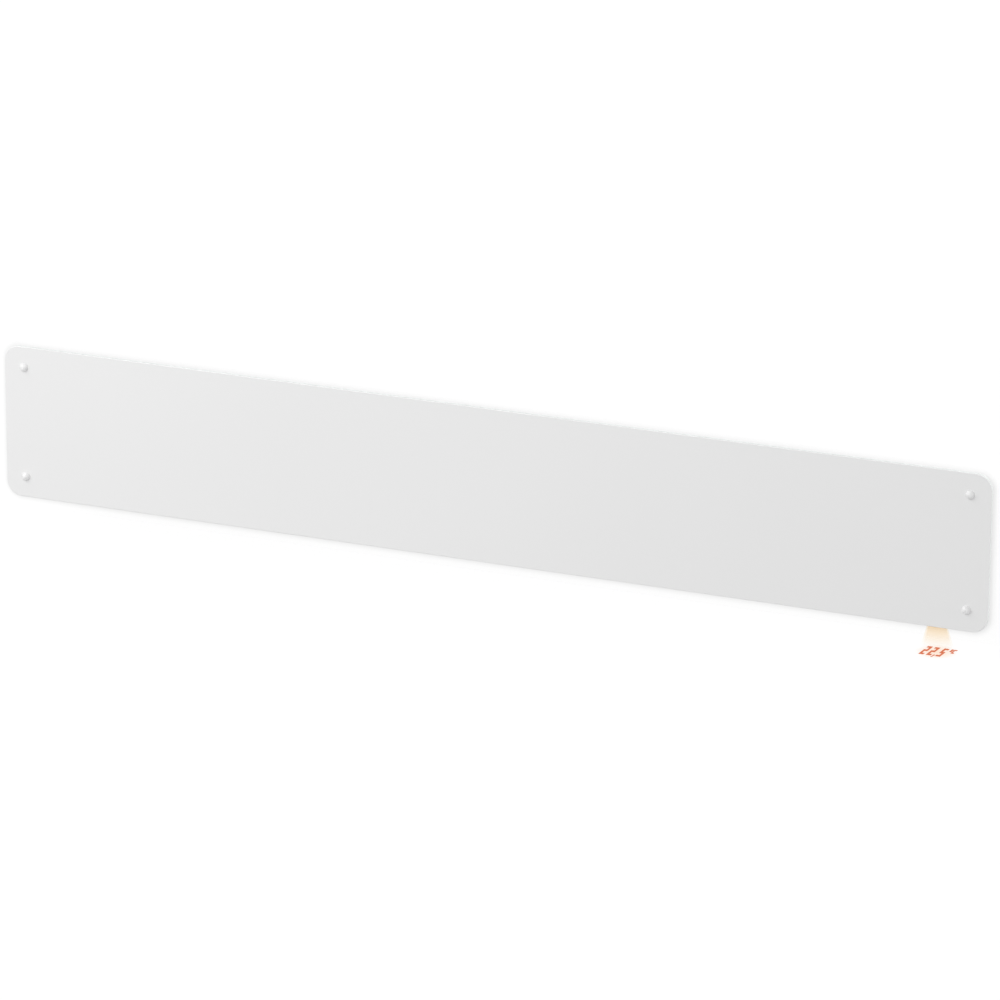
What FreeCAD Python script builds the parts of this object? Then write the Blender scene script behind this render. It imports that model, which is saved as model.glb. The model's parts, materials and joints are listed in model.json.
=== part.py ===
"""Low wall heater with a white glass front.

A wall bracket carries a sheet-steel casing on two pivot pins and two spring catches. The casing holds
a finned heating element between heat shields, and at its right end a control compartment with push
buttons, a rocker switch, a room sensor, a cord gland and a projector that shines down past the glass.
Four domed fixings hold the glass to a steel carrier at each end of the casing.

Frame: X along the wall, Y into the wall, Z up. The origin is on the wall, in the middle of the wall
screws. A depth is a distance from the wall towards the room, so a point at a depth has y = -depth.
"""
import FreeCAD, Part
import os
import re
import Sketcher

SIZES = {
    # Stack from the wall to the face of the glass, and play between pieces
    "overall_depth": 87,
    "glass_gap": 8,
    "wall_gap": 22,
    "casing_sheet": 1,
    "fit_gap": 0.1,
    "free_gap": 0.3,
    # Glass front and how far it stands out past the casing
    "glass_width": 1450,
    "glass_height": 220,
    "glass_thickness": 5,
    "glass_corner_radius": 22,
    "glass_arris": 0.8,
    "glass_hole_diameter": 9,
    "side_overhang": 40,
    "top_overhang": 25,
    # Glass fixings
    "fixing_inset": 30,
    "cap_diameter": 13,
    "cap_height": 5,
    "cap_wall": 0.9,
    "bush_play": 0.2,
    "bush_flange_diameter": 10.4,
    "bush_flange_height": 0.6,
    "glass_screw_diameter": 4.8,
    "glass_screw_head_diameter": 7.2,
    "glass_screw_head_height": 1.6,
    "pad_diameter": 18,
    "pad_thickness": 1.5,
    "standoff_diameter": 14,
    "standoff_neck_diameter": 8,
    "standoff_collar_diameter": 11,
    "standoff_collar_height": 1,
    # Steel carriers of the glass
    "carrier_sheet": 1.5,
    "carrier_lap": 55,
    "carrier_edge": 14,
    "carrier_return": 11,
    "carrier_rivet_diameter": 4,
    "carrier_rivet_head_diameter": 8,
    "carrier_rivet_head_height": 1.2,
    "carrier_rivet_edge": 14,
    "carrier_rivet_rise": 45,
    # Casing
    "grille_flange": 11,
    "slot_width": 6,
    "slot_length": 34,
    "slot_pitch": 12,
    "slot_margin": 45,
    "end_cap_wall": 2.5,
    "end_cap_round": 1.5,
    "end_rim_height": 4,
    "end_rim_wall": 1.5,
    "end_tab_length": 22,
    "end_tab_width": 40,
    "end_tab_thickness": 3,
    "casing_screw_diameter": 3.4,
    "casing_screw_length": 6,
    "casing_screw_head_diameter": 7,
    "casing_screw_head_height": 2.2,
    "casing_screw_bevel": 0.8,
    "recess_length": 4.2,
    "recess_width": 0.9,
    "recess_depth": 1.2,
    "casing_screw_margin": 30,
    "leg_screw_gap": 58.5,
    "middle_screw_share": 0.333,
    "bead_length": 760,
    "bead_width": 10,
    "bead_height": 2,
    "bead_rise": 45,
    # Wall bracket
    "leg_inset": 275,
    "wall_hole_spacing_z": 100,
    "wall_hole_diameter": 5.5,
    "bracket_sheet": 2,
    "leg_width": 24,
    "leg_foot": 14,
    "leg_top": 16,
    "crossbar_height": 30,
    "bracket_rivet_diameter": 4,
    "bracket_rivet_head_diameter": 8,
    "bracket_rivet_head_height": 1.2,
    "crossbar_rivet_rise": 8,
    # Hooks, pivot pins and lugs
    "pivot_depth": 12,
    "pivot_height": 19,
    "pivot_pin_diameter": 6,
    "pivot_pin_head_diameter": 8.5,
    "pivot_pin_head_height": 1.5,
    "pivot_play": 0.1,
    "hook_drop": 9,
    "hook_toe": 2,
    "hook_reach": 6,
    "hook_horn": 5,
    "hook_back": 12,
    "lug_sheet": 2,
    "lug_side_gap": 2,
    "lug_radius": 6,
    "lug_base_height": 24,
    # Spring catches and the wall buffers
    "catch_sheet": 0.8,
    "catch_width": 14,
    "catch_foot_low": 42,
    "catch_foot_high": 22,
    "catch_nose_start": 27,
    "catch_nose_gap": 0.4,
    "catch_nose_lip": 4,
    "catch_window_low": 18,
    "catch_window_high": 36,
    "catch_window_side": 3,
    "bumper_inset": 65,
    "bumper_rise": 55,
    "bumper_diameter": 14,
    "bumper_base_diameter": 20,
    "bumper_base_height": 4,
    # Heating element
    "element_end_room": 80,
    "element_drop": 10,
    "hub_diameter": 15,
    "arm_clearance": 1.5,
    "arm_thickness": 1.8,
    "arm_angle": 32,
    "rod_diameter": 8,
    "rod_overhang": 22,
    "terminal_diameter": 4,
    "terminal_length": 16,
    "terminal_nut_diameter": 8,
    "terminal_nut_height": 4,
    "insulator_diameter": 16,
    "insulator_neck_diameter": 12,
    "insulator_flange": 4,
    "hanger_gap": 10,
    "hanger_sheet": 1.2,
    "hanger_foot": 14,
    "hanger_height": 40,
    "hanger_reach": 14,
    "hanger_lip": 8,
    "cradle_height": 20,
    # Heat shields and overheat cut-outs
    "shield_sheet": 0.8,
    "shield_stand": 6,
    "shield_room": 14,
    "shield_end_gap": 2,
    "cutout_spacing": 600,
    "cutout_rise_share": 0.494,
    "cutout_diameter": 16,
    "cutout_height": 8,
    "cutout_flange_width": 12,
    "cutout_flange_height": 26,
    "cutout_flange_thickness": 1,
    "cutout_tab_length": 8,
    "cutout_tab_width": 6.3,
    "cutout_tab_thickness": 0.8,
    "cutout_tab_stand": 6,
    # Control compartment
    "control_length": 110,
    "bulkhead_sheet": 1.2,
    "bulkhead_foot": 10,
    "grommet_hole_diameter": 12,
    "grommet_flange_diameter": 16,
    "grommet_bore": 6,
    "grommet_flange": 2.5,
    "board_offset": 48,
    "board_width": 62,
    "board_thickness": 1.6,
    "board_drop": 17,
    "board_hole_inset": 5,
    "board_screw_diameter": 2.8,
    "board_screw_length": 9,
    "board_screw_head_diameter": 5.6,
    "board_screw_head_height": 1.8,
    "tray_margin": 2,
    "tray_base": 2,
    "tray_post_diameter": 8,
    "relay_width": 28,
    "relay_height": 24,
    "relay_thickness": 15,
    "relay_side": 29,
    "relay_rise_share": 0.46,
    "supply_width": 24,
    "supply_height": 34,
    "supply_thickness": 17,
    "supply_side": 4,
    "supply_rise_share": 0.39,
    "capacitor_diameter": 10,
    "capacitor_length": 18,
    "capacitor_side": 18,
    "capacitor_rise_share": 0.22,
    "block_width": 24,
    "block_height": 20,
    "block_lead_stand": 7,
    "block_hole_pitch": 7,
    "block_hole_diameter": 3.4,
    "block_hole_depth": 8,
    "block_board_gap": 1.7,
    # Push buttons and their panel
    "panel_width": 78,
    "panel_breadth": 32,
    "panel_lip": 4,
    "panel_rim": 1.5,
    "panel_depth": 5,
    "panel_corner_radius": 4,
    "button_pitch": 20,
    "button_diameter": 10,
    "button_proud": 1.2,
    "button_bevel": 0.5,
    "button_flange_diameter": 13,
    "button_flange_height": 1.5,
    "button_mark_length": 5.6,
    "button_mark_width": 1.2,
    "button_mark_depth": 0.4,
    "stem_diameter": 2.4,
    "stem_entry": 1,
    "tact_width": 6,
    "tact_breadth": 4.8,
    "tact_height": 8,
    "tact_well_depth": 4,
    # Rocker switch in the right end cap
    "rocker_drop": 10,
    "rocker_length": 17.2,
    "rocker_width": 11.2,
    "rocker_rise": 3.4,
    "rocker_dip": 1.4,
    "rocker_heel": 1.5,
    "rocker_keel": 4,
    "rocker_keel_length": 6,
    "rocker_tilt": 10,
    "rocker_pivot_inset": 1,
    "trunnion_diameter": 2.4,
    "trunnion_length": 0.9,
    "trunnion_play": 0.1,
    "rocker_side_gap": 0.4,
    "rocker_end_gap": 1,
    "switch_wall": 1.2,
    "switch_flange": 2.2,
    "switch_flange_height": 1.5,
    "switch_body_depth": 17,
    "switch_cavity_depth": 9,
    "switch_tab_length": 7,
    "switch_tab_width": 6.3,
    "switch_tab_thickness": 0.8,
    "switch_tab_pitch": 9,
    # Projector
    "projector_inset": 83,
    "projector_diameter": 18,
    "projector_wall": 1.5,
    "projector_height": 30,
    "projector_flange_diameter": 26,
    "projector_flange_height": 2,
    "lens_edge": 4,
    "lens_proud": 1,
    "lens_bulge": 2,
    "mask_thickness": 1,
    "mask_height": 18,
    "lamp_board_thickness": 1.6,
    "lamp_diameter": 5,
    "lamp_length": 3,
    "bezel_diameter": 23,
    "bezel_height": 1.2,
    # Room sensor and cord gland
    "sensor_side": 6,
    "sensor_front_gap": 4,
    "sensor_hole_diameter": 8,
    "sensor_flange_diameter": 12,
    "sensor_flange_height": 1.5,
    "sensor_reach": 8,
    "sensor_bore": 5,
    "sensor_tip_wall": 1.2,
    "sensor_vent_width": 1.6,
    "sensor_stem_diameter": 2,
    "sensor_stem_length": 8,
    "gland_side": 24,
    "gland_rear_gap": 2,
    "gland_diameter": 16,
    "gland_flange_diameter": 24,
    "gland_flange_height": 3,
    "gland_inner_length": 12,
    "gland_bore": 8.4,
    "gland_nut_width": 21,
    "gland_nut_height": 5,
    # Leads
    "lead_diameter": 2.8,
    "lead_bend": 9,
    "lead_turn_room": 18,
    "lead_seat": 5,
}

# Places worked out from the sizes
PLACES = {
    "end_x": "glass_width / 2 - side_overhang",
    "inner_end_x": "end_x - end_cap_wall",
    "top_z": "glass_height / 2 - top_overhang",
    "web_z": "top_z - casing_sheet",
    "flange_z": "top_z - grille_flange",
    "rear_out": "wall_gap",
    "rear_in": "wall_gap + casing_sheet",
    "glass_back": "overall_depth - glass_thickness",
    "front_out": "glass_back - glass_gap",
    "front_in": "front_out - casing_sheet",
    "mid_depth": "(rear_in + front_in) / 2",
    "carrier_front": "front_out + carrier_sheet",
    "fixing_x": "glass_width / 2 - fixing_inset",
    "fixing_z": "glass_height / 2 - fixing_inset",
    "carrier_x": "fixing_x + carrier_edge",
    "carrier_z": "fixing_z + carrier_edge",
    "cap_ball": "(cap_diameter ^ 2 / 4 + cap_height ^ 2) / (2 * cap_height)",
    "cap_centre": "overall_depth + cap_height - cap_ball",
    "screw_z": "top_z - grille_flange / 2",
    "screw_x": "inner_end_x - casing_screw_margin",
    "end_tab_x": "inner_end_x - end_tab_length / 2",
    "wall_hole_spacing_x": "glass_width - 2 * leg_inset",
    "leg_x": "wall_hole_spacing_x / 2",
    "leg_side_x": "leg_x - leg_width / 2",
    "leg_screw_x": "leg_x - leg_screw_gap",
    "pivot_z": "pivot_height - top_z",
    "lug_half": "leg_width / 2 + lug_side_gap + lug_sheet",
    "catch_rivet_z": "-(catch_foot_low + catch_foot_high) / 2",
    "bulkhead_x": "inner_end_x - control_length",
    "element_x": "(bulkhead_x - inner_end_x) / 2",
    "element_half": "(bulkhead_x + inner_end_x) / 2 - element_end_room",
    "element_z": "-element_drop",
    "rod_half": "element_half + rod_overhang",
    "terminal_half": "rod_half + terminal_length",
    "hanger_half": "element_half + hanger_gap",
    "arm_room": "(front_shield_rear - rear_shield_front) / 2 - arm_clearance",
    "arm_reach": "(arm_room - arm_thickness / 2 * cos(arm_angle)) / sin(arm_angle)",
    "arm_low_z": "element_z - arm_reach * cos(arm_angle) - arm_thickness / 2 * sin(arm_angle)",
    "shield_half": "hanger_half - shield_end_gap",
    "rear_shield_front": "rear_in + shield_stand + shield_sheet",
    "front_shield_rear": "front_in - shield_stand - shield_sheet",
    "shield_height": "2 * (flange_z - shield_room)",
    "cutout_rise": "top_z * cutout_rise_share",
    "cutout_reach": "cutout_diameter / 2 + cutout_tab_length",
    "cutout_tab_depth": "front_shield_rear - cutout_tab_stand - cutout_tab_thickness / 2",
    "board_x": "bulkhead_x + board_offset",
    "board_top": "top_z - board_drop",
    "board_front": "mid_depth - tact_breadth / 2",
    "board_back": "board_front - board_thickness",
    "board_hole_x": "board_width / 2 - board_hole_inset",
    "block_z": "block_height / 2 + free_gap - flange_z",
    "block_front": "mid_depth - block_lead_stand",
    "block_thickness": "block_front - (rear_in)",
    "board_low": "block_z + block_height / 2 + block_board_gap + tray_margin",
    "board_height": "board_top - board_low",
    "panel_under": "top_z - panel_depth",
    "panel_top": "top_z + panel_rim",
    "button_top": "panel_top + button_proud",
    "rocker_x": "end_x - rocker_pivot_inset",
    "rocker_z": "-rocker_drop",
    "cavity_half_z": "rocker_length / 2 + rocker_end_gap",
    "cavity_half_y": "rocker_width / 2 + rocker_side_gap",
    "switch_half_z": "cavity_half_z + switch_wall",
    "switch_half_y": "cavity_half_y + switch_wall",
    "switch_back_x": "end_x - switch_body_depth",
    "projector_x": "glass_width / 2 - projector_inset",
    "projector_bore": "projector_diameter / 2 - projector_wall",
    "lens_radius": "projector_bore - fit_gap",
    "lamp_top": "projector_height - projector_wall",
    "sensor_x": "board_x + sensor_side",
    "sensor_depth": "front_in - casing_sheet - sensor_flange_diameter / 2 - sensor_front_gap",
    "gland_x": "board_x - gland_side",
    "gland_depth": "rear_in + casing_sheet + gland_flange_diameter / 2 + gland_rear_gap",
}

PLANE_ROLES = {"front": "XZ_Plane", "side": "YZ_Plane", "top": "XY_Plane"}
TURN_PLANES = {"x": "front", "depth": "top", "z": "front"}
FULL_TURN = 360
HEX_SIDES = 6
ACROSS_X = FreeCAD.Vector(1, 0, 0)
ACROSS_Z = FreeCAD.Vector(0, 0, 1)
LENS_SHOULDER_SHARE = 0.75
VOLUME_TOLERANCE_SHARE = 0.001
BEND_ROOM_SHARE = 0.9

doc = FreeCAD.newDocument("glass_panel_heater")
sheet = doc.addObject("Spreadsheet::Sheet", "Sizes")
for row, (size_name, size_value) in enumerate(SIZES.items(), start=1):
    sheet.set(f"A{row}", size_name)
    sheet.set(f"B{row}", str(size_value))
    sheet.setAlias(f"B{row}", size_name)
doc.recompute()


def bound(text):
    """Write a sum of size and place names as an expression on the cells of the sheet."""
    def swap(found):
        name = found.group(0)
        if name in PLACES:
            return "(" + bound(PLACES[name]) + ")"
        if name in SIZES:
            return "Sizes." + name
        return name
    return re.sub(r"[A-Za-z_]\w*", swap, text)


def value(text):
    """Work out a sum of size and place names as a number."""
    return float(sheet.evalExpression(bound(text)))


def rect(low_a, high_a, low_b, high_b):
    """Corners of a rectangle."""
    return [(low_a, low_b), (high_a, low_b), (high_a, high_b), (low_a, high_b)]


def around(centre, breadth):
    """Two places either side of a centre."""
    return f"({centre}) - ({breadth}) / 2", f"({centre}) + ({breadth}) / 2"


def on_plane(plane, point):
    """Sketch coordinates of a point: (x, z) in front, (depth, z) at the side, (x, depth) on top."""
    first, second = point
    if plane == "side":
        return f"-({first})", second
    if plane == "top":
        return first, f"-({second})"
    return first, second


def bind(sketch, kind, text, *where):
    """Add a constraint to a sketch, with its size bound to the sheet."""
    index = sketch.addConstraint(Sketcher.Constraint(kind, *where, value(text)))
    sketch.setExpression(f"Constraints[{index}]", bound(text))


def add_loop(sketch, points):
    """Add a closed outline of straight lines to a sketch."""
    spots = [FreeCAD.Vector(value(a), value(b), 0) for a, b in points]
    lines = []
    for spot, following in zip(spots, spots[1:] + spots[:1]):
        lines.append(sketch.addGeometry(Part.LineSegment(spot, following), False))
    for line, following in zip(lines, lines[1:] + lines[:1]):
        sketch.addConstraint(Sketcher.Constraint("Coincident", line, 2, following, 1))
    for line, (a, b) in zip(lines, points):
        bind(sketch, "DistanceX", a, -1, 1, line, 1)
        bind(sketch, "DistanceY", b, -1, 1, line, 1)


def add_circle(sketch, a, b, radius):
    """Add a circle to a sketch."""
    centre = FreeCAD.Vector(value(a), value(b), 0)
    circle = sketch.addGeometry(Part.Circle(centre, ACROSS_Z, value(radius)), False)
    bind(sketch, "Radius", radius, circle)
    bind(sketch, "DistanceX", a, -1, 1, circle, 3)
    bind(sketch, "DistanceY", b, -1, 1, circle, 3)


def add_sketch(body, plane, start, loops, circles):
    """Draw outlines on one of the body's own planes, moved out to where the feature starts."""
    sketch = body.newObject("Sketcher::SketchObject", "outline")
    support = next(f for f in body.Origin.OriginFeatures if f.Role == PLANE_ROLES[plane])
    sketch.AttachmentSupport = (support, [""])
    sketch.MapMode = "FlatFace"
    sketch.setExpression("AttachmentOffset.Base.z", bound(start))
    for points in loops:
        add_loop(sketch, [on_plane(plane, point) for point in points])
    for a, b, radius in circles:
        add_circle(sketch, *on_plane(plane, (a, b)), radius)
    return sketch


def new_body(label):
    """Start a piece that is built up from sketches."""
    body = doc.addObject("PartDesign::Body", label)
    body.Label = label
    return body


def pad(body, plane, start, length, loops=(), circles=()):
    """Add material from a sketch: towards the room, the right or the top."""
    feature = body.newObject("PartDesign::Pad", "pad")
    feature.Profile = add_sketch(body, plane, start, loops, circles)
    feature.setExpression("Length", bound(length))
    body.Tip = feature
    return feature


def cut(body, plane, start, length, loops=(), circles=()):
    """Take material away from a sketch: towards the room, the right or the top."""
    doc.recompute()
    before = body.Shape.Volume
    feature = body.newObject("PartDesign::Pocket", "cut")
    feature.Profile = add_sketch(body, plane, start, loops, circles)
    feature.Reversed = True
    feature.setExpression("Length", bound(length))
    body.Tip = feature
    doc.recompute()
    if body.Shape.Volume >= before:
        raise ValueError(body.Label + ": a cut takes nothing away")
    return feature


def dress(body, kind, prop, size, chosen):
    """Round or bevel the edges of the body's last feature that a test chooses."""
    doc.recompute()
    base = body.Tip
    names = [f"Edge{i}" for i, edge in enumerate(base.Shape.Edges, start=1) if chosen(edge.BoundBox)]
    feature = body.newObject(kind, "edges")
    feature.Base = (base, names)
    feature.setExpression(prop, bound(size))
    body.Tip = feature
    return feature


def turned(label, axis, profile):
    """A round piece about its own axis, from profile points (radius, along)."""
    body = new_body(label)
    points = [(along, radius) if axis == "x" else (radius, along) for radius, along in profile]
    sketch = add_sketch(body, TURN_PLANES[axis], "0", [points], [])
    feature = body.newObject("PartDesign::Revolution", "turn")
    feature.Profile = sketch
    feature.ReferenceAxis = (sketch, ["H_Axis" if axis == "x" else "V_Axis"])
    feature.Angle = FULL_TURN
    body.Tip = feature
    return body


def place(piece, x, depth, z):
    """Move a piece to its place in the heater."""
    for axis, text in (("x", x), ("y", f"-({depth})"), ("z", z)):
        piece.setExpression("Placement.Base." + axis, bound(text))
    return piece


def primitive(kind, label, **sizes):
    """A plain block, cylinder, ball or prism with its sizes bound to the sheet."""
    piece = doc.addObject(kind, label)
    piece.Label = label
    for prop, text in sizes.items():
        piece.setExpression(prop, bound(text))
    return piece


def block(label, x, depth, z):
    """A box between two places on each axis."""
    piece = primitive("Part::Box", label, Length=f"({x[1]}) - ({x[0]})",
                      Width=f"({depth[1]}) - ({depth[0]})", Height=f"({z[1]}) - ({z[0]})")
    return place(piece, x[0], depth[1], z[0])


def forward(piece):
    """Turn a piece that stands along Z so that it points towards the room."""
    piece.Placement.Rotation = FreeCAD.Rotation(ACROSS_X, FULL_TURN / 4)
    return piece


def minus(label, base, tool):
    """One piece cut by another."""
    piece = doc.addObject("Part::Cut", label)
    piece.Label = label
    piece.Base = base
    piece.Tool = tool
    return piece


def joined(label, pieces):
    """Several shapes made into one solid."""
    piece = doc.addObject("Part::MultiFuse", label)
    piece.Label = label
    piece.Shapes = pieces
    return piece


def mirrored(label, source, normal=ACROSS_X):
    """The other hand of a piece."""
    piece = doc.addObject("Part::Mirroring", label)
    piece.Label = label
    piece.Source = source
    piece.Normal = normal
    return piece


def group(label, pieces):
    """Like pieces that share one node."""
    piece = doc.addObject("Part::Compound", label)
    piece.Label = label
    piece.Links = pieces
    return piece


def pair(label, source):
    """A piece and its other hand, in one node."""
    return group(label, [source, mirrored(source.Label + "_left", source)])


def at_corners(label, sources):
    """Pieces repeated at the four corners, in one node."""
    pieces = []
    for source in sources:
        left = mirrored(source.Label + "_left", source)
        low = [mirrored(upper.Label + "_low", upper, ACROSS_Z) for upper in (source, left)]
        pieces += [source, left] + low
    return group(label, pieces)


def half(size):
    """Half of a size."""
    return f"({size}) / 2"


# Wall side

def wall_bracket_leg():
    """Right leg of the wall bracket: a strip with screw holes and two upturned hooks at its foot."""
    body = new_body("right_wall_bracket")
    leg = rect(*around("leg_x", "leg_width"), "pivot_z - leg_foot", "wall_hole_spacing_z / 2 + leg_top")
    rivet = "bracket_rivet_diameter / 2 + fit_gap"
    holes = [("leg_x", f"{side} * wall_hole_spacing_z / 2", half("wall_hole_diameter")) for side in (1, -1)]
    holes += [("leg_x", f"{side} * crossbar_rivet_rise", rivet) for side in (1, -1)]
    holes.append(("leg_x", "catch_rivet_z", rivet))
    pad(body, "front", "0", "bracket_sheet", [leg], holes)
    notch = "(pivot_pin_diameter / 2 + pivot_play)"
    hook = [
        ("0", "pivot_z - hook_drop"),
        ("pivot_depth - hook_toe", "pivot_z - hook_drop"),
        ("pivot_depth + hook_reach", "pivot_z - hook_toe"),
        ("pivot_depth + hook_reach", "pivot_z + hook_horn"),
        ("pivot_depth + " + notch, "pivot_z + hook_horn"),
        ("pivot_depth + " + notch, "pivot_z"),
        ("pivot_depth - " + notch, "pivot_z"),
        ("pivot_depth - " + notch, "pivot_z + hook_back"),
        ("0", "pivot_z + hook_back"),
    ]
    for start in ("leg_side_x", "leg_side_x + leg_width - bracket_sheet"):
        pad(body, "side", start, "bracket_sheet", [hook])
    cut(body, "side", "leg_side_x", "leg_width", circles=[("pivot_depth", "pivot_z", notch)])
    return body


def bracket_crossbar():
    """Flat bar that joins the two legs and keeps them in line."""
    body = new_body("bracket_crossbar")
    bar = rect("-leg_x - leg_width / 2", "leg_x + leg_width / 2", *around("0", "crossbar_height"))
    holes = []
    for across in (1, -1):
        for side in (1, -1):
            holes.append((f"{across} * leg_x", f"{side} * crossbar_rivet_rise",
                          "bracket_rivet_diameter / 2 + fit_gap"))
    pad(body, "front", "bracket_sheet", "bracket_sheet", [bar], holes)
    return body


def bracket_rivets():
    """Rivets, flush at the wall, that hold the crossbar and the catches on the legs."""
    def rivet(label, seat, z):
        shank = half("bracket_rivet_diameter")
        head = half("bracket_rivet_head_diameter")
        top = seat + " + bracket_rivet_head_height"
        body = turned(label, "depth", [("0", "0"), (shank, "0"), (shank, seat), (head, seat), (head, top),
                                       ("0", top)])
        return place(body, "leg_x", "0", z)
    upper = rivet("crossbar_rivet_upper", "2 * bracket_sheet", "crossbar_rivet_rise")
    lower = rivet("crossbar_rivet_lower", "2 * bracket_sheet", "-crossbar_rivet_rise")
    catch = rivet("catch_rivet", "bracket_sheet + catch_sheet", "catch_rivet_z")
    pieces = []
    for source in (upper, lower, catch):
        pieces += [source, mirrored(source.Label + "_left", source)]
    return group("bracket_rivets", pieces)


def catch_springs():
    """Leaf springs on the legs whose noses hook behind the rear plate."""
    body = new_body("catch_spring")
    nose = "rear_in + catch_nose_gap"
    leaf = [
        ("bracket_sheet", "-catch_foot_low"),
        ("bracket_sheet + catch_sheet", "-catch_foot_low"),
        ("bracket_sheet + catch_sheet", "-catch_foot_high"),
        (nose + " + catch_sheet", "catch_nose_start"),
        (nose + " + catch_sheet", "catch_window_high + catch_nose_lip"),
        (nose, "catch_window_high + catch_nose_lip"),
        (nose, "catch_nose_start"),
        ("bracket_sheet", "-catch_foot_high"),
    ]
    pad(body, "side", "leg_x - catch_width / 2", "catch_width", [leaf])
    hole = ("leg_x", "catch_rivet_z", "bracket_rivet_diameter / 2 + fit_gap")
    cut(body, "front", "bracket_sheet", "catch_sheet", circles=[hole])
    return pair("catch_springs", body)


def pivot_lugs():
    """U-shaped lugs on the rear plate that carry the pivot pins outside the hooks."""
    body = new_body("pivot_lug")
    base = rect("leg_x - lug_half", "leg_x + lug_half", *around("pivot_z", "lug_base_height"))
    pad(body, "front", "rear_out - lug_sheet", "lug_sheet", [base])
    cheek = rect("pivot_depth", "rear_out", *around("pivot_z", "2 * lug_radius"))
    for start in ("leg_x - lug_half", "leg_x + lug_half - lug_sheet"):
        pad(body, "side", start, "lug_sheet", [cheek])
        pad(body, "side", start, "lug_sheet", circles=[("pivot_depth", "pivot_z", "lug_radius")])
    pin_hole = ("pivot_depth", "pivot_z", "pivot_pin_diameter / 2 + fit_gap / 2")
    cut(body, "side", "leg_x - lug_half", "2 * lug_half", circles=[pin_hole])
    return pair("pivot_lugs", body)


def pivot_pins():
    """Headed pins that rest in the hooks of the wall bracket."""
    shank = half("pivot_pin_diameter")
    head = half("pivot_pin_head_diameter")
    far = "lug_half + pivot_pin_head_height"
    body = turned("pivot_pin", "x", [("0", f"-({far})"), (head, f"-({far})"), (head, "-(lug_half)"),
                                     (shank, "-(lug_half)"), (shank, "lug_half"), (head, "lug_half"),
                                     (head, far), ("0", far)])
    place(body, "leg_x", "pivot_depth", "pivot_z")
    return pair("pivot_pins", body)


def wall_bumpers():
    """Rubber buffers that keep the top of the casing off the wall."""
    base = half("bumper_base_diameter")
    stem = half("bumper_diameter")
    step = "rear_out - bumper_base_height"
    body = turned("wall_bumper", "depth", [("0", "0"), (stem, "0"), (stem, step), (base, step),
                                           (base, "rear_out"), ("0", "rear_out")])
    place(body, "inner_end_x - bumper_inset", "0", "bumper_rise")
    return pair("wall_bumpers", body)


# Casing

def screw_columns():
    """Places along the casing of the screws in the rear flanges."""
    places = ("screw_x", "leg_screw_x", "leg_screw_x * middle_screw_share")
    return [f"{side} * ({x})" for x in places for side in (1, -1)]


def rear_plate():
    """Back of the casing, with two pressed beads and the windows of the catches."""
    body = new_body("rear_plate")
    sheet_edge = rect("-inner_end_x", "inner_end_x", "-top_z", "top_z")
    window_width = "catch_width + 2 * catch_window_side"
    windows = [rect(*around(f"{side} * leg_x", window_width), "catch_window_low", "catch_window_high")
               for side in (1, -1)]
    screw = "casing_screw_diameter / 2 + fit_gap / 2"
    holes = [(x, f"{side} * (screw_z)", screw) for x in screw_columns() for side in (1, -1)]
    holes += [(f"{side} * end_tab_x", "0", screw) for side in (1, -1)]
    pad(body, "front", "rear_out", "casing_sheet", [sheet_edge] + windows, holes)
    for side in (1, -1):
        centre = f"{side} * bead_rise"
        bead = rect(*around("0", "bead_length"), *around(centre, "bead_width"))
        hollow = rect(*around("0", "bead_length - 2 * casing_sheet"),
                      *around(centre, "bead_width - 2 * casing_sheet"))
        pad(body, "front", "rear_out - bead_height", "bead_height", [bead])
        cut(body, "front", "rear_out - bead_height + casing_sheet", "bead_height", [hollow])
    return body


def front_plate():
    """Front of the casing, behind the glass."""
    body = new_body("front_plate")
    sheet_edge = rect("-inner_end_x", "inner_end_x", "-top_z", "top_z")
    holes = []
    for x in carrier_rivet_columns():
        for across in (1, -1):
            for side in (1, -1):
                holes.append((f"{across} * ({x})", f"{side} * carrier_rivet_rise",
                              "carrier_rivet_diameter / 2 + fit_gap"))
    pad(body, "front", "front_in", "casing_sheet", [sheet_edge], holes)
    return body


def grille(label, side):
    """Slotted channel that closes the top (side 1) or the bottom (side -1) of the casing."""
    body = new_body(label)

    def level(text):
        return f"{side} * ({text})"
    channel = [
        ("rear_in", level("top_z")),
        ("front_in", level("top_z")),
        ("front_in", level("flange_z")),
        ("front_in - casing_sheet", level("flange_z")),
        ("front_in - casing_sheet", level("web_z")),
        ("rear_in + casing_sheet", level("web_z")),
        ("rear_in + casing_sheet", level("flange_z")),
        ("rear_in", level("flange_z")),
    ]
    pad(body, "side", "-inner_end_x", "2 * inner_end_x", [channel])
    screw = "casing_screw_diameter / 2 + fit_gap / 2"
    holes = [(x, level("screw_z"), screw) for x in screw_columns()]
    cut(body, "front", "rear_in", "casing_sheet", circles=holes)
    return body


def slot_row(body, web_low):
    """Row of air slots along the hot part of a grille."""
    first = "slot_margin - inner_end_x"
    slot = rect(first, first + " + slot_width", *around("mid_depth", "slot_length"))
    feature = cut(body, "top", web_low, "casing_sheet", [slot])
    run = "bulkhead_x + inner_end_x - 2 * slot_margin - slot_width"
    row_pattern = body.newObject("PartDesign::LinearPattern", "slots")
    row_pattern.Originals = [feature]
    row_pattern.Direction = (feature.Profile[0], ["H_Axis"])
    row_pattern.setExpression("Length", bound(f"floor(({run}) / slot_pitch) * slot_pitch"))
    row_pattern.setExpression("Occurrences", bound(f"floor(({run}) / slot_pitch) + 1"))
    body.Tip = row_pattern


def top_grille():
    """Warm-air outlet, with the window of the button panel."""
    body = grille("top_grille", 1)
    window = rect(*around("board_x", "panel_width - 2 * panel_lip"),
                  *around("mid_depth", "panel_breadth - 2 * panel_lip"))
    cut(body, "top", "web_z", "casing_sheet", [window])
    slot_row(body, "web_z")
    return body


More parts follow.
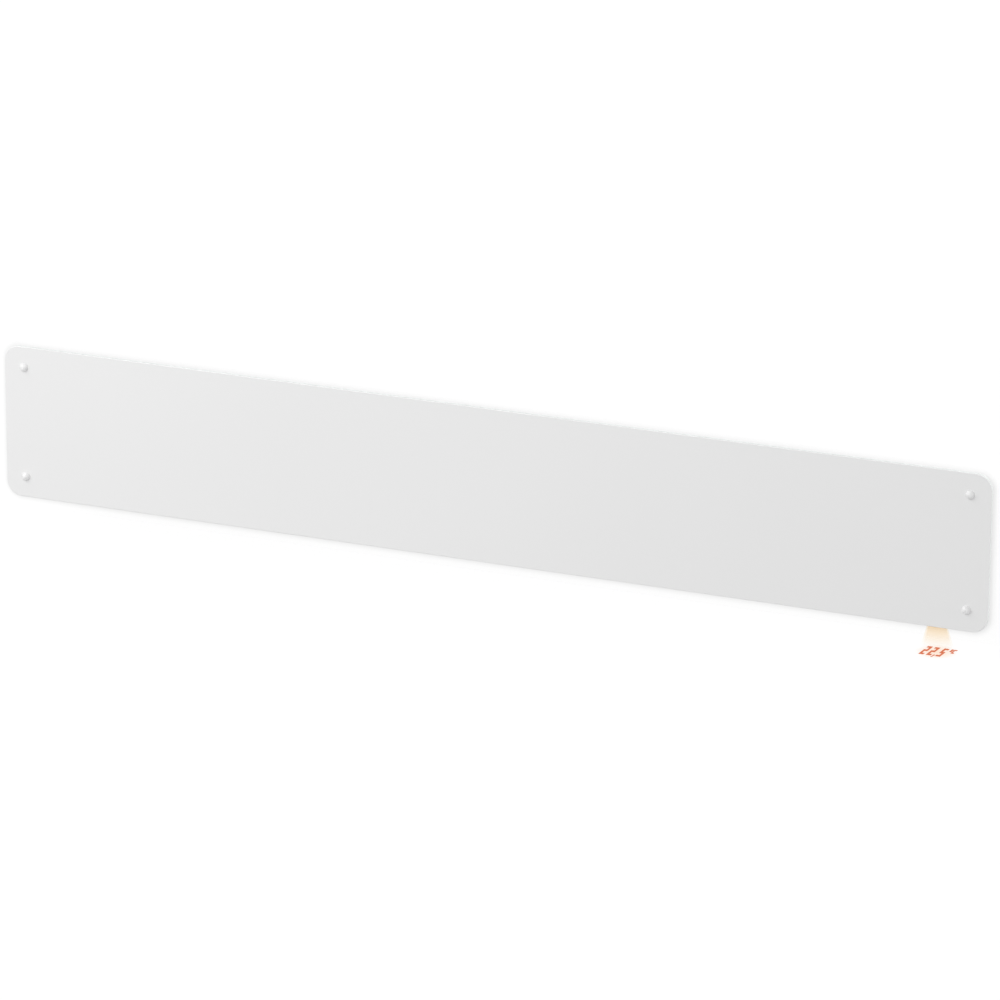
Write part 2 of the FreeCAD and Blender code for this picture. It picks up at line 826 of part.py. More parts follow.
def bottom_grille():
    """Cool-air inlet, with the holes of the projector, the room sensor and the cord gland."""
    body = grille("bottom_grille", -1)
    holes = [
        ("projector_x", "mid_depth", "projector_bore + free_gap"),
        ("sensor_x", "sensor_depth", half("sensor_hole_diameter")),
        ("gland_x", "gland_depth", "gland_diameter / 2 + fit_gap"),
    ]
    cut(body, "top", "-top_z", "casing_sheet", circles=holes)
    slot_row(body, "-top_z")
    return body


def end_cap(label):
    """Moulded right end of the casing, with a stiffening rim and a screw tab front and rear."""
    body = new_body(label)
    edge = rect("rear_out", "front_out", "-top_z", "top_z")
    pad(body, "side", "inner_end_x", "end_cap_wall", [edge])
    dress(body, "PartDesign::Fillet", "Radius", "end_cap_round",
          lambda box: box.XLength == 0 and box.XMin > value("inner_end_x + end_cap_wall / 2"))
    rim_rear = "(rear_in + casing_sheet + free_gap)"
    rim_front = "(front_in - casing_sheet - free_gap)"
    rim_z = "(flange_z - free_gap)"
    outer = rect(rim_rear, rim_front, f"-{rim_z}", rim_z)
    inner = rect(rim_rear + " + end_rim_wall", rim_front + " - end_rim_wall",
                 f"end_rim_wall - {rim_z}", rim_z + " - end_rim_wall")
    pad(body, "side", "inner_end_x - end_rim_height", "end_rim_height", [outer, inner])
    for low in ("rear_in", "front_in - end_tab_thickness"):
        tab = rect(low, low + " + end_tab_thickness", *around("0", "end_tab_width"))
        pad(body, "side", "inner_end_x - end_tab_length", "end_tab_length", [tab])
    hole = ("end_tab_x", "0", "casing_screw_diameter / 2 + fit_gap / 2")
    cut(body, "front", "rear_in", "end_tab_thickness", circles=[hole])
    return body


def right_end_cap():
    """Right end, with the opening of the rocker switch."""
    body = end_cap("right_end_cap")
    opening = rect(*around("mid_depth", "2 * switch_half_y + 2 * fit_gap"),
                   *around("rocker_z", "2 * switch_half_z + 2 * fit_gap"))
    cut(body, "side", "inner_end_x", "end_cap_wall", [opening])
    return body


def casing_screw(x, z):
    """Pan-head screw with a cross recess."""
    shank = half("casing_screw_diameter")
    head = half("casing_screw_head_diameter")
    tip = "rear_out + casing_screw_length"
    back = "rear_out - casing_screw_head_height"
    body = turned("casing_screw", "depth", [
        ("0", back), (head + " - casing_screw_bevel", back), (head, back + " + casing_screw_bevel"),
        (head, "rear_out"), (shank, "rear_out"), (shank, tip), ("0", tip)])
    long_side = around("0", "recess_length")
    short_side = around("0", "recess_width")
    for arm in (rect(*long_side, *short_side), rect(*short_side, *long_side)):
        cut(body, "front", back, "recess_depth", [arm])
    return place(body, x, "0", z)


def casing_screws():
    """Screws in the back: into the grille flanges and the end caps."""
    spots = [(x, f"{side} * (screw_z)") for x in screw_columns() for side in (1, -1)]
    spots += [(f"{side} * end_tab_x", "0") for side in (1, -1)]
    return group("casing_screws", [casing_screw(x, z) for x, z in spots])


# Glass and its fixings

def carrier_rivet_columns():
    """Places along the casing of the rivets of the right carrier."""
    return ["end_x - carrier_lap + carrier_rivet_edge", "end_x - carrier_rivet_edge"]


def glass_carrier():
    """Right steel carrier: riveted to the front plate, with a turned-back edge past the casing."""
    body = new_body("right_glass_carrier")
    strap = rect("end_x - carrier_lap", "carrier_x", "-carrier_z", "carrier_z")
    holes = [("fixing_x", f"{side} * fixing_z", "standoff_neck_diameter / 2 + fit_gap") for side in (1, -1)]
    for x in carrier_rivet_columns():
        for side in (1, -1):
            holes.append((x, f"{side} * carrier_rivet_rise", "carrier_rivet_diameter / 2 + fit_gap"))
    pad(body, "front", "front_out", "carrier_sheet", [strap], holes)
    edge = rect("carrier_front - carrier_return", "carrier_front", "-carrier_z", "carrier_z")
    pad(body, "side", "carrier_x - carrier_sheet", "carrier_sheet", [edge])
    return body


def carrier_rivets():
    """Rivets that hold the carriers on the front plate."""
    shank = half("carrier_rivet_diameter")
    head = half("carrier_rivet_head_diameter")
    back = "front_in - carrier_rivet_head_height"
    top = "carrier_front + carrier_rivet_head_height"
    profile = [("0", back), (head, back), (head, "front_in"), (shank, "front_in"), (shank, "carrier_front"),
               (head, "carrier_front"), (head, top), ("0", top)]
    sources = [place(turned("carrier_rivet", "depth", profile), x, "0", "carrier_rivet_rise")
               for x in carrier_rivet_columns()]
    return at_corners("carrier_rivets", sources)


def fixing(label, profile):
    """A round piece repeated at the four fixings of the glass."""
    source = place(turned(label[:-1], "depth", profile), "fixing_x", "0", "fixing_z")
    return at_corners(label, [source])


def glass_standoffs():
    """Threaded posts riveted into the carriers."""
    bore = "glass_screw_diameter / 2 + fit_gap"
    collar = half("standoff_collar_diameter")
    neck = half("standoff_neck_diameter")
    post = half("standoff_diameter")
    back = "front_out - standoff_collar_height"
    seat = "glass_back - pad_thickness"
    return fixing("glass_standoffs", [(bore, back), (collar, back), (collar, "front_out"),
                                      (neck, "front_out"), (neck, "carrier_front"), (post, "carrier_front"),
                                      (post, seat), (bore, seat)])


def glass_pads():
    """Silicone rings between the posts and the back of the glass."""
    bore = "glass_screw_diameter / 2 + free_gap"
    rim = half("pad_diameter")
    seat = "glass_back - pad_thickness"
    return fixing("glass_pads", [(bore, seat), (rim, seat), (rim, "glass_back"), (bore, "glass_back")])


def glass_bushes():
    """Nylon bushes that keep the screws off the glass."""
    bore = "glass_screw_diameter / 2 + bush_play"
    sleeve = "glass_hole_diameter / 2 - bush_play"
    flange = half("bush_flange_diameter")
    top = "overall_depth + bush_flange_height"
    return fixing("glass_bushes", [(bore, "glass_back"), (sleeve, "glass_back"), (sleeve, "overall_depth"),
                                   (flange, "overall_depth"), (flange, top), (bore, top)])


def glass_screws():
    """Screws through the glass into the posts."""
    shank = half("glass_screw_diameter")
    head = half("glass_screw_head_diameter")
    tip = "front_out - standoff_collar_height"
    seat = "overall_depth + bush_flange_height"
    top = seat + " + glass_screw_head_height"
    return fixing("glass_screws", [("0", tip), (shank, tip), (shank, seat), (head, seat), (head, top),
                                   ("0", top)])


def screw_caps():
    """Hollow domes over the screw heads."""
    def dome(label, radius):
        ball = primitive("Part::Sphere", label, Radius=radius,
                         Angle1=f"asin((cap_ball - cap_height) / ({radius}))")
        return place(forward(ball), "fixing_x", "cap_centre", "fixing_z")
    cap = minus("screw_cap", dome("cap_outside", "cap_ball"), dome("cap_inside", "cap_ball - cap_wall"))
    return at_corners("screw_caps", [cap])


def glass_front():
    """Toughened glass with round corners, bevelled edges and four fixing holes."""
    body = new_body("glass_front")
    edge = rect(*around("0", "glass_width"), *around("0", "glass_height"))
    holes = [(f"{across} * fixing_x", f"{side} * fixing_z", half("glass_hole_diameter"))
             for across in (1, -1) for side in (1, -1)]
    pad(body, "front", "glass_back", "glass_thickness", [edge], holes)
    dress(body, "PartDesign::Fillet", "Radius", "glass_corner_radius",
          lambda box: box.XLength == 0 and box.ZLength == 0 and box.YLength > 0)
    dress(body, "PartDesign::Chamfer", "Size", "glass_arris",
          lambda box: box.YLength < value("glass_thickness / 2") and on_outline(box))
    return body


def on_outline(box):
    """Whether an edge of the glass runs along its outline and not round a fixing hole."""
    reach_x = max(abs(box.XMin), abs(box.XMax))
    reach_z = max(abs(box.ZMin), abs(box.ZMax))
    past_x = reach_x > value("fixing_x + glass_hole_diameter")
    past_z = reach_z > value("fixing_z + glass_hole_diameter")
    return past_x or past_z


# Heating

def heating_element():
    """Extruded aluminium element: a hub with four long arms."""
    body = new_body("heating_element")
    start = "element_x - element_half"
    length = "2 * element_half"
    pad(body, "side", start, length, circles=[("mid_depth", "element_z", half("hub_diameter"))])
    reach = "arm_reach * {}(arm_angle)"
    thick = "arm_thickness / 2 * {}(arm_angle)"
    for across in (1, -1):
        for up in (1, -1):
            arm = []
            for along, side in ((0, 1), (1, 1), (1, -1), (0, -1)):
                depth = f"{along} * {reach.format('sin')} + {side} * {thick.format('cos')}"
                rise = f"{along} * {reach.format('cos')} - {side} * {thick.format('sin')}"
                arm.append((f"mid_depth + {across} * ({depth})", f"element_z + {up} * ({rise})"))
            pad(body, "side", start, length, [arm])
    bore = ("mid_depth", "element_z", "rod_diameter / 2 + fit_gap")
    cut(body, "side", start, length, circles=[bore])
    return body


def element_rod():
    """Sheathed heating rod through the hub."""
    rod = half("rod_diameter")
    body = turned("element_rod", "x", [("0", "-(rod_half)"), (rod, "-(rod_half)"), (rod, "rod_half"),
                                       ("0", "rod_half")])
    return place(body, "element_x", "mid_depth", "element_z")


def at_both_ends(label, profile):
    """A round piece repeated at both ends of the element, from points (radius, distance from its middle)."""
    pieces = []
    for side in (1, -1):
        body = turned(label[:-1], "x", [(radius, f"{side} * ({along})") for radius, along in profile])
        pieces.append(place(body, "element_x", "mid_depth", "element_z"))
    return group(label, pieces)


def element_insulators():
    """Grooved ceramic bushes that carry the rod in the hangers."""
    bore = "rod_diameter / 2 + fit_gap"
    rim = half("insulator_diameter")
    neck = half("insulator_neck_diameter")
    near = "hanger_half"
    far = "hanger_half + hanger_sheet"
    return at_both_ends("element_insulators", [
        (bore, near + " - insulator_flange"), (rim, near + " - insulator_flange"), (rim, near), (neck, near),
        (neck, far), (rim, far), (rim, far + " + insulator_flange"), (bore, far + " + insulator_flange")])


def element_terminals():
    """Threaded pins, each with its nut, at the ends of the rod."""
    pin = half("terminal_diameter")
    nut = half("terminal_nut_diameter")
    nut_start = "rod_half + terminal_nut_height"
    nut_end = nut_start + " + terminal_nut_height"
    return at_both_ends("element_terminals", [
        ("0", "rod_half"), (pin, "rod_half"), (pin, nut_start), (nut, nut_start), (nut, nut_end),
        (pin, nut_end), (pin, "terminal_half"), ("0", "terminal_half")])


def element_hangers():
    """Angle brackets on the rear plate with an open slot for the insulators."""
    pieces = []
    low, high = around("element_z", "hanger_height")
    slot = "(insulator_neck_diameter / 2 + fit_gap)"
    web = [
        ("rear_in", low),
        ("mid_depth + hanger_reach", low),
        ("mid_depth + hanger_reach", "element_z + hanger_lip"),
        ("mid_depth + " + slot, "element_z + hanger_lip"),
        ("mid_depth + " + slot, "element_z"),
        ("mid_depth - " + slot, "element_z"),
        ("mid_depth - " + slot, high),
        ("rear_in", high),
    ]
    for side in (1, -1):
        body = new_body("element_hanger")
        start = f"element_x + {side} * (hanger_half + hanger_sheet / 2) - hanger_sheet / 2"
        pad(body, "side", start, "hanger_sheet", [web])
        near = f"element_x + {side} * hanger_half"
        foot = rect(near, near + f" + {side} * hanger_foot", low, high)
        pad(body, "front", "rear_in", "hanger_sheet", [foot])
        cut(body, "side", start, "hanger_sheet", circles=[("mid_depth", "element_z", slot)])
        pieces.append(body)
    return group("element_hangers", pieces)


def element_cradle():
    """Angle on the rear heat shield that the middle of the element rests on."""
    body = new_body("element_cradle")
    top = "arm_low_z - fit_gap"
    tip = "mid_depth + arm_reach * sin(arm_angle)"
    web = rect("rear_shield_front", tip, "arm_low_z - cradle_height", top)
    pad(body, "side", "element_x", "hanger_sheet", [web])
    foot = rect("element_x", "element_x + hanger_foot", "arm_low_z - cradle_height", top)
    pad(body, "front", "rear_shield_front", "hanger_sheet", [foot])
    return body


def heat_shield(label, wall, facing):
    """Channel that stands on a wall of the casing and faces the element."""
    body = new_body(label)
    web_back = f"{wall} + {facing} * shield_stand"
    web_face = f"{wall} + {facing} * (shield_stand + shield_sheet)"
    edge = "shield_height / 2"
    inner = "(shield_height / 2 - shield_sheet)"
    channel = [
        (wall, edge),
        (web_face, edge),
        (web_face, "-" + edge),
        (wall, "-" + edge),
        (wall, "-" + inner),
        (web_back, "-" + inner),
        (web_back, inner),
        (wall, inner),
    ]
    pad(body, "side", "element_x - shield_half", "2 * shield_half", [channel])
    return body


def overheat_cutouts():
    """Bimetal discs on the front heat shield, with a lead tab on each side."""
    pieces = []
    for side in (1, -1):
        centre = f"(element_x + {side} * cutout_spacing / 2)"
        can = primitive("Part::Cylinder", "cutout_can", Radius=half("cutout_diameter"),
                        Height="cutout_height")
        place(forward(can), centre, "front_shield_rear - cutout_height", "cutout_rise")
        flange = block("cutout_flange", around(centre, "cutout_flange_width"),
                       ("front_shield_rear - cutout_flange_thickness", "front_shield_rear"),
                       around("cutout_rise", "cutout_flange_height"))
        tabs = block("cutout_tabs", around(centre, "2 * cutout_reach"),
                     around("cutout_tab_depth", "cutout_tab_thickness"),
                     around("cutout_rise", "cutout_tab_width"))
        pieces.append(joined("overheat_cutout", [can, flange, tabs]))
    return group("overheat_cutouts", pieces)


# Control compartment

def grommet_places():
    """Depth and height of the two lead holes in the bulkhead."""
    return [("mid_depth", "block_z"), ("cutout_tab_depth", "cutout_rise")]


def control_bulkhead():
    """Plate between the hot part and the control compartment, notched round the grille flanges."""
    body = new_body("control_bulkhead")
    inner_rear = "rear_in + casing_sheet"
    inner_front = "front_in - casing_sheet"
    lower = [("rear_in", "flange_z"), (inner_rear, "flange_z"), (inner_rear, "web_z"),
             (inner_front, "web_z"), (inner_front, "flange_z"), ("front_in", "flange_z")]
    outline = [(depth, f"-{z}") for depth, z in lower] + lower[::-1]
    holes = [(depth, z, half("grommet_hole_diameter")) for depth, z in grommet_places()]
    pad(body, "side", "bulkhead_x", "bulkhead_sheet", [outline], holes)
    foot = rect("bulkhead_x", "bulkhead_x + bulkhead_foot", "-flange_z", "flange_z")
    pad(body, "front", "rear_in", "bulkhead_sheet", [foot])
    return body


def bulkhead_grommets():
    """Grooved rubber rings in the lead holes."""
    bore = half("grommet_bore")
    rim = half("grommet_flange_diameter")
    neck = "grommet_hole_diameter / 2 - fit_gap"
    profile = [(bore, "-grommet_flange"), (rim, "-grommet_flange"), (rim, "0"), (neck, "0"),
               (neck, "bulkhead_sheet"), (rim, "bulkhead_sheet"), (rim, "bulkhead_sheet + grommet_flange"),
               (bore, "bulkhead_sheet + grommet_flange")]
    return group("bulkhead_grommets", [place(turned("bulkhead_grommet", "x", profile), "bulkhead_x", depth, z)
                                       for depth, z in grommet_places()])


def board_holes():
    """Places of the four screws of the control board."""
    return [(f"board_x + {across} * board_hole_x", level) for across in (1, -1)
            for level in ("board_top - board_hole_inset", "board_low + board_hole_inset")]


def control_tray():
    """Moulded tray on the rear plate with four posts for the board."""
    body = new_body("control_tray")
    base = rect(*around("board_x", "board_width + 2 * tray_margin"),
                "board_low - tray_margin", "board_top + tray_margin")
    pad(body, "front", "rear_in", "tray_base", [base])
    posts = [(x, z, half("tray_post_diameter")) for x, z in board_holes()]
    pad(body, "front", "rear_in", "board_back - (rear_in)", circles=posts)
    holes = [(x, z, "board_screw_diameter / 2 + fit_gap / 2") for x, z in board_holes()]
    cut(body, "front", "board_back - board_screw_length", "board_screw_length", circles=holes)
    return body


def control_board():
    """Circuit board of the thermostat."""
    body = new_body("control_board")
    edge = rect(*around("board_x", "board_width"), "board_low", "board_top")
    holes = [(x, z, "board_screw_diameter / 2 + fit_gap") for x, z in board_holes()]
    pad(body, "front", "board_back", "board_thickness", [edge], holes)
    return body


def board_screws():
    """Screws that hold the board on the posts of the tray."""
    shank = half("board_screw_diameter")
    head = half("board_screw_head_diameter")
    tip = "board_front - board_screw_length"
    top = "board_front + board_screw_head_height"
    profile = [("0", tip), (shank, tip), (shank, "board_front"), (head, "board_front"), (head, top),
               ("0", top)]
    return group("board_screws", [place(turned("board_screw", "depth", profile), x, "0", z)
                                  for x, z in board_holes()])


def board_level(rise_share):
    """Height of a part on the board, as a share of the board above its lower edge."""
    return f"board_low + board_height * {rise_share}"


def on_board(label, side, rise_share, width, height, thickness):
    """A moulded part on the front of the board."""
    low_z = board_level(rise_share)
    return block(label, (f"board_x + ({side})", f"board_x + ({side}) + {width}"),
                 ("board_front", f"board_front + {thickness}"), (low_z, f"{low_z} + {height}"))


def power_relay():
    """Relay that switches the element."""
    return on_board("power_relay", "-relay_side", "relay_rise_share", "relay_width", "relay_height",
                    "relay_thickness")


def power_supply():
    """Potted supply of the board."""
    return on_board("power_supply", "supply_side", "supply_rise_share", "supply_width", "supply_height",
                    "supply_thickness")


def buffer_capacitor():
    """Capacitor that stands on the board."""
    can = primitive("Part::Cylinder", "buffer_capacitor", Radius=half("capacitor_diameter"),
                    Height="capacitor_length")
    return place(forward(can), "board_x - capacitor_side", "board_front",
                 board_level("capacitor_rise_share"))


def terminal_block():
    """Screw terminals of the supply, on the rear plate."""
    body = new_body("terminal_block")
    edge = rect(*around("board_x", "block_width"), *around("block_z", "block_height"))
    pad(body, "front", "rear_in", "block_thickness", [edge])
    holes = [(f"board_x + {step} * block_hole_pitch", "block_z", half("block_hole_diameter"))
             for step in (-1, 0, 1)]
    cut(body, "front", "block_front - block_hole_depth", "block_hole_depth", circles=holes)
    return body


def button_places():
    """Place along the panel of each push button."""
    return {"minus_button": "board_x - button_pitch", "mode_button": "board_x",
            "plus_button": "board_x + button_pitch"}


def tact_switches():
    """Small switches at the top of the board, with a well for the stem of each button."""
    pieces = []
    for x in button_places().values():
        body = new_body("tact_switch")
        edge = rect(*around(x, "tact_width"), *around("mid_depth", "tact_breadth"))
        pad(body, "top", "board_top - tact_height", "tact_height", [edge])
        well = (x, "mid_depth", "stem_diameter / 2 + free_gap")
        cut(body, "top", "board_top - tact_well_depth", "tact_well_depth", circles=[well])
        pieces.append(body)
    return group("tact_switches", pieces)


def control_panel():
    """Moulded panel in the top grille that guides the push buttons."""
    body = new_body("control_panel")
    rim = rect(*around("board_x", "panel_width"), *around("mid_depth", "panel_breadth"))
    holes = [(x, "mid_depth", "button_diameter / 2 + free_gap") for x in button_places().values()]
    pad(body, "top", "top_z", "panel_rim", [rim], holes)
    dress(body, "PartDesign::Fillet", "Radius", "panel_corner_radius",
          lambda box: box.XLength == 0 and box.YLength == 0)
    plug = rect(*around("board_x", "panel_width - 2 * panel_lip - 2 * fit_gap"),
                *around("mid_depth", "panel_breadth - 2 * panel_lip - 2 * fit_gap"))
    pad(body, "top", "panel_under", "panel_depth", [plug], holes)
    return body


def push_button(label):
    """Round push button with a stop flange, a stem and a sunk mark."""
    stem = half("stem_diameter")
    flange = half("button_flange_diameter")
    cap = half("button_diameter")
    stem_low = "board_top - stem_entry"
    flange_low = "panel_under - button_flange_height"
    body = turned(label, "z", [
        ("0", stem_low), (stem, stem_low), (stem, flange_low), (flange, flange_low), (flange, "panel_under"),
        (cap, "panel_under"), (cap, "button_top - button_bevel"), (cap + " - button_bevel", "button_top"),
        ("0", "button_top")])
    place(body, button_places()[label], "mid_depth", "0")
    return body


def mark(body, loops=(), circles=()):
    """Sink a mark into the face of a push button."""
    cut(body, "top", "button_top - button_mark_depth", "button_mark_depth", loops, circles)


def minus_button():
    """Button that lowers the temperature."""
    body = push_button("minus_button")
    mark(body, [rect(*around("0", "button_mark_length"), *around("0", "button_mark_width"))])
    return body


def plus_button():
    """Button that raises the temperature."""
    body = push_button("plus_button")
    mark(body, [rect(*around("0", "button_mark_length"), *around("0", "button_mark_width"))])
    mark(body, [rect(*around("0", "button_mark_width"), *around("0", "button_mark_length"))])
    return body


def mode_button():
    """Button that steps through the programmes."""
    body = push_button("mode_button")
    ring = half("button_mark_length")
    mark(body, circles=[("0", "0", ring), ("0", "0", ring + " - button_mark_width")])
    return body


# Rocker switch

def rocker_frame():
    """Snap-in housing of the main switch, with its lead tabs."""
    body = new_body("rocker_frame")
    shell = rect(*around("mid_depth", "2 * switch_half_y"), *around("rocker_z", "2 * switch_half_z"))
    pad(body, "side", "switch_back_x", "switch_body_depth", [shell])
    flange = rect(*around("mid_depth", "2 * switch_half_y + 2 * switch_flange"),
                  *around("rocker_z", "2 * switch_half_z + 2 * switch_flange"))
    pad(body, "side", "end_x", "switch_flange_height", [flange])
    for side in (1, -1):
        tab = rect(*around("mid_depth", "switch_tab_width"),
                   *around(f"rocker_z + {side} * switch_tab_pitch / 2", "switch_tab_thickness"))
        pad(body, "side", "switch_back_x - switch_tab_length", "switch_tab_length", [tab])
    cavity = rect(*around("mid_depth", "2 * cavity_half_y"), *around("rocker_z", "2 * cavity_half_z"))
    cut(body, "side", "end_x - switch_cavity_depth", "switch_cavity_depth + switch_flange_height", [cavity])
    bearing = ("rocker_x", "rocker_z", "trunnion_diameter / 2 + trunnion_play")
    cut(body, "front", "mid_depth - switch_half_y", "2 * switch_half_y", circles=[bearing])
    return body


def rocker():
    """Rocker of the main switch, tilted to one of its two positions."""
    body = new_body("rocker")
    tip = half("rocker_length")
    keel = half("rocker_keel_length")
    section = [
        ("rocker_rise", "-" + tip), ("rocker_rise - rocker_dip", "0"), ("rocker_rise", tip),
        ("-rocker_heel", tip), ("-rocker_keel", keel), ("-rocker_keel", "-" + keel),
        ("-rocker_heel", "-" + tip),
    ]
    pad(body, "front", "-rocker_width / 2", "rocker_width", [section])
    pad(body, "front", "-rocker_width / 2 - trunnion_length", "rocker_width + 2 * trunnion_length",
        circles=[("0", "0", half("trunnion_diameter"))])
    body.Placement.Rotation = FreeCAD.Rotation(FreeCAD.Vector(0, 1, 0), 0)
    body.setExpression("Placement.Rotation.Angle", bound("rocker_tilt"))
    return place(body, "rocker_x", "mid_depth", "rocker_z")


# Projector, room sensor and cord gland

def below(label, x, depth, level, profile):
    """A round piece about a vertical axis, from points (radius, height over a level)."""
    return place(turned(label, "z", profile), x, depth, level)


def projector_housing():
    """Tube on the bottom grille that holds the lamp, the mask and the lens."""
    tube = half("projector_diameter")
    flange = half("projector_flange_diameter")
    return below("projector_housing", "projector_x", "mid_depth", "-(web_z)", [
        ("projector_bore", "0"), (flange, "0"), (flange, "projector_flange_height"),
        (tube, "projector_flange_height"), (tube, "projector_height"), ("0", "projector_height"),
        ("0", "lamp_top"), ("projector_bore", "lamp_top")])


def projector_lens():
    """Lens with a bulging lower face."""
    edge = "-(lens_proud + casing_sheet)"
    return below("projector_lens", "projector_x", "mid_depth", "-(web_z)", [
        ("0", f"{edge} - lens_bulge"), ("lens_radius / 2", f"{edge} - lens_bulge * {LENS_SHOULDER_SHARE}"),
        ("lens_radius", edge), ("lens_radius", "lens_edge"), ("0", "lens_edge")])


def projector_mask():
    """Disc of segments that the lamp shines through."""
    return below("projector_mask", "projector_x", "mid_depth", "-(web_z)", [
        ("0", "mask_height"), ("lens_radius", "mask_height"), ("lens_radius", "mask_height + mask_thickness"),
        ("0", "mask_height + mask_thickness")])


def projector_lamp():
    """Light-emitting diode on its round board."""
    lamp = half("lamp_diameter")
    under = "lamp_top - lamp_board_thickness"
    return below("projector_lamp", "projector_x", "mid_depth", "-(web_z)", [
        ("0", under + " - lamp_length"), (lamp, under + " - lamp_length"), (lamp, under),
        ("lens_radius", under), ("lens_radius", "lamp_top"), ("0", "lamp_top")])


def projector_bezel():
    """Ring round the lens under the casing."""
    inner = "projector_bore + free_gap"
    outer = half("bezel_diameter")
    return below("projector_bezel", "projector_x", "mid_depth", "-(top_z)", [
        (inner, "-bezel_height"), (outer, "-bezel_height"), (outer, "0"), (inner, "0")])


def sensor_holder():
    """Slotted cage of the room sensor under the casing."""
    flange = half("sensor_flange_diameter")
    tube = "sensor_hole_diameter / 2 - fit_gap"
    bore = half("sensor_bore")
    low = "-(casing_sheet + sensor_reach)"
    body = below("sensor_holder", "sensor_x", "sensor_depth", "-(web_z)", [
        ("0", low), (tube, low), (tube, "0"), (flange, "0"), (flange, "sensor_flange_height"),
        (bore, "sensor_flange_height"), (bore, low + " + sensor_tip_wall"),
        ("0", low + " + sensor_tip_wall")])
    vent = rect(*around("0", "sensor_hole_diameter"), *around("0", "sensor_vent_width"))
    cut(body, "top", low + " + sensor_tip_wall", "sensor_reach - 2 * sensor_tip_wall", [vent])
    return body


def room_sensor():
    """Sealed sensor bead on its stem."""
    bead = "sensor_bore / 2 - fit_gap"
    stem = half("sensor_stem_diameter")
    low = "sensor_tip_wall - casing_sheet - sensor_reach"
    return below("room_sensor", "sensor_x", "sensor_depth", "-(web_z)", [
        ("0", low), (bead, low), (bead, "0"), (stem, "0"), (stem, "sensor_stem_length"),
        ("0", "sensor_stem_length")])


def cord_gland():
    """Bush in the bottom of the casing for the supply cord."""
    bore = half("gland_bore")
    tube = half("gland_diameter")
    flange = half("gland_flange_diameter")
    under = "-(casing_sheet + gland_flange_height)"
    return below("cord_gland", "gland_x", "gland_depth", "-(web_z)", [
        (bore, under), (flange, under), (flange, "-casing_sheet"), (tube, "-casing_sheet"),
        (tube, "gland_inner_length"), (bore, "gland_inner_length")])


def gland_nut():
    """Hexagon nut of the gland, inside the casing."""
    blank = primitive("Part::Prism", "gland_nut_blank", Height="gland_nut_height",
                      Circumradius=f"gland_nut_width / 2 / cos({FULL_TURN / HEX_SIDES / 2})")
    blank.Polygon = HEX_SIDES
    bore = primitive("Part::Cylinder", "gland_nut_bore", Radius="gland_diameter / 2 + fit_gap",
                     Height="gland_nut_height")
    for piece in (blank, bore):
        place(piece, "gland_x", "gland_depth", "-(web_z)")
    return minus("gland_nut", blank, bore)


# Leads

def spot(x, depth, z):
    """A point of a lead's route."""
    return FreeCAD.Vector(value(x), -value(depth), value(z))


def bend_in(points):
    """Bend of a lead, no rounder than its shortest run can hold."""
    runs = [(after - before).Length for before, after in zip(points, points[1:])]
    inner_rooms = [run / 2 for run in runs[1:-1]]
    room = min([runs[0], runs[-1], *inner_rooms])
    return min(value("lead_bend"), room * BEND_ROOM_SHARE)


def lead(label, route):
    """A lead along straight runs joined by round bends."""
    points = [spot(*names) for names in route]
    bend = bend_in(points)
    edges = []
    start = points[0]
    for before, corner, after in zip(points, points[1:], points[2:]):
        come = (corner - before).normalize()
        go = (after - corner).normalize()
        setback = bend * (1 - come.dot(go)) / come.cross(go).Length
        enter = corner - come * setback
        leave = corner + go * setback
        centre = enter + (go - come * come.dot(go)).normalize() * bend
        middle = centre + (corner - centre).normalize() * bend
        edges.append(Part.LineSegment(start, enter).toShape())
        edges.append(Part.Arc(enter, middle, leave).toShape())
        start = leave
    edges.append(Part.LineSegment(start, points[-1]).toShape())
    path = Part.Wire(edges)
    ring = Part.Wire([Part.Circle(points[0], points[1] - points[0], value("lead_diameter / 2")).toShape()])
    shape = path.makePipeShell([ring], True, False)
    expected = path.Length * Part.Face(ring).Area
    if abs(shape.Volume - expected) > expected * VOLUME_TOLERANCE_SHARE:
        raise ValueError(label + ": the lead isn't as long as its route")
    piece = doc.addObject("Part::Feature", label)
    piece.Label = label
    piece.Shape = shape
    return piece


def feed_lead():
    """From the board, through the upper grommet, to the right cut-out."""
    return lead("feed_lead", [
        ("board_x", "board_front", "cutout_rise"),
        ("board_x", "cutout_tab_depth", "cutout_rise"),
        ("element_x + cutout_spacing / 2 + cutout_reach", "cutout_tab_depth", "cutout_rise"),
    ])


def link_lead():
    """From the right cut-out to the left one."""
    return lead("link_lead", [
        ("element_x + cutout_spacing / 2 - cutout_reach", "cutout_tab_depth", "cutout_rise"),
        ("element_x - cutout_spacing / 2 + cutout_reach", "cutout_tab_depth", "cutout_rise"),
    ])


def left_lead():
    """From the left cut-out round to the left end of the rod."""
    turn_x = "element_x - terminal_half - lead_turn_room"
    return lead("left_lead", [
        ("element_x - cutout_spacing / 2 - cutout_reach", "cutout_tab_depth", "cutout_rise"),
        (turn_x, "cutout_tab_depth", "cutout_rise"),
        (turn_x, "mid_depth", "element_z"),
        ("element_x - terminal_half", "mid_depth", "element_z"),
    ])


def right_lead():
    """From the right end of the rod, through the lower grommet, to the terminal block."""
    turn_x = "element_x + terminal_half + lead_turn_room"
    return lead("right_lead", [
        ("element_x + terminal_half", "mid_depth", "element_z"),
        (turn_x, "mid_depth", "element_z"),
        (turn_x, "mid_depth", "block_z"),
        ("board_x", "mid_depth", "block_z"),
        ("board_x", "block_front - lead_seat", "block_z"),
    ])


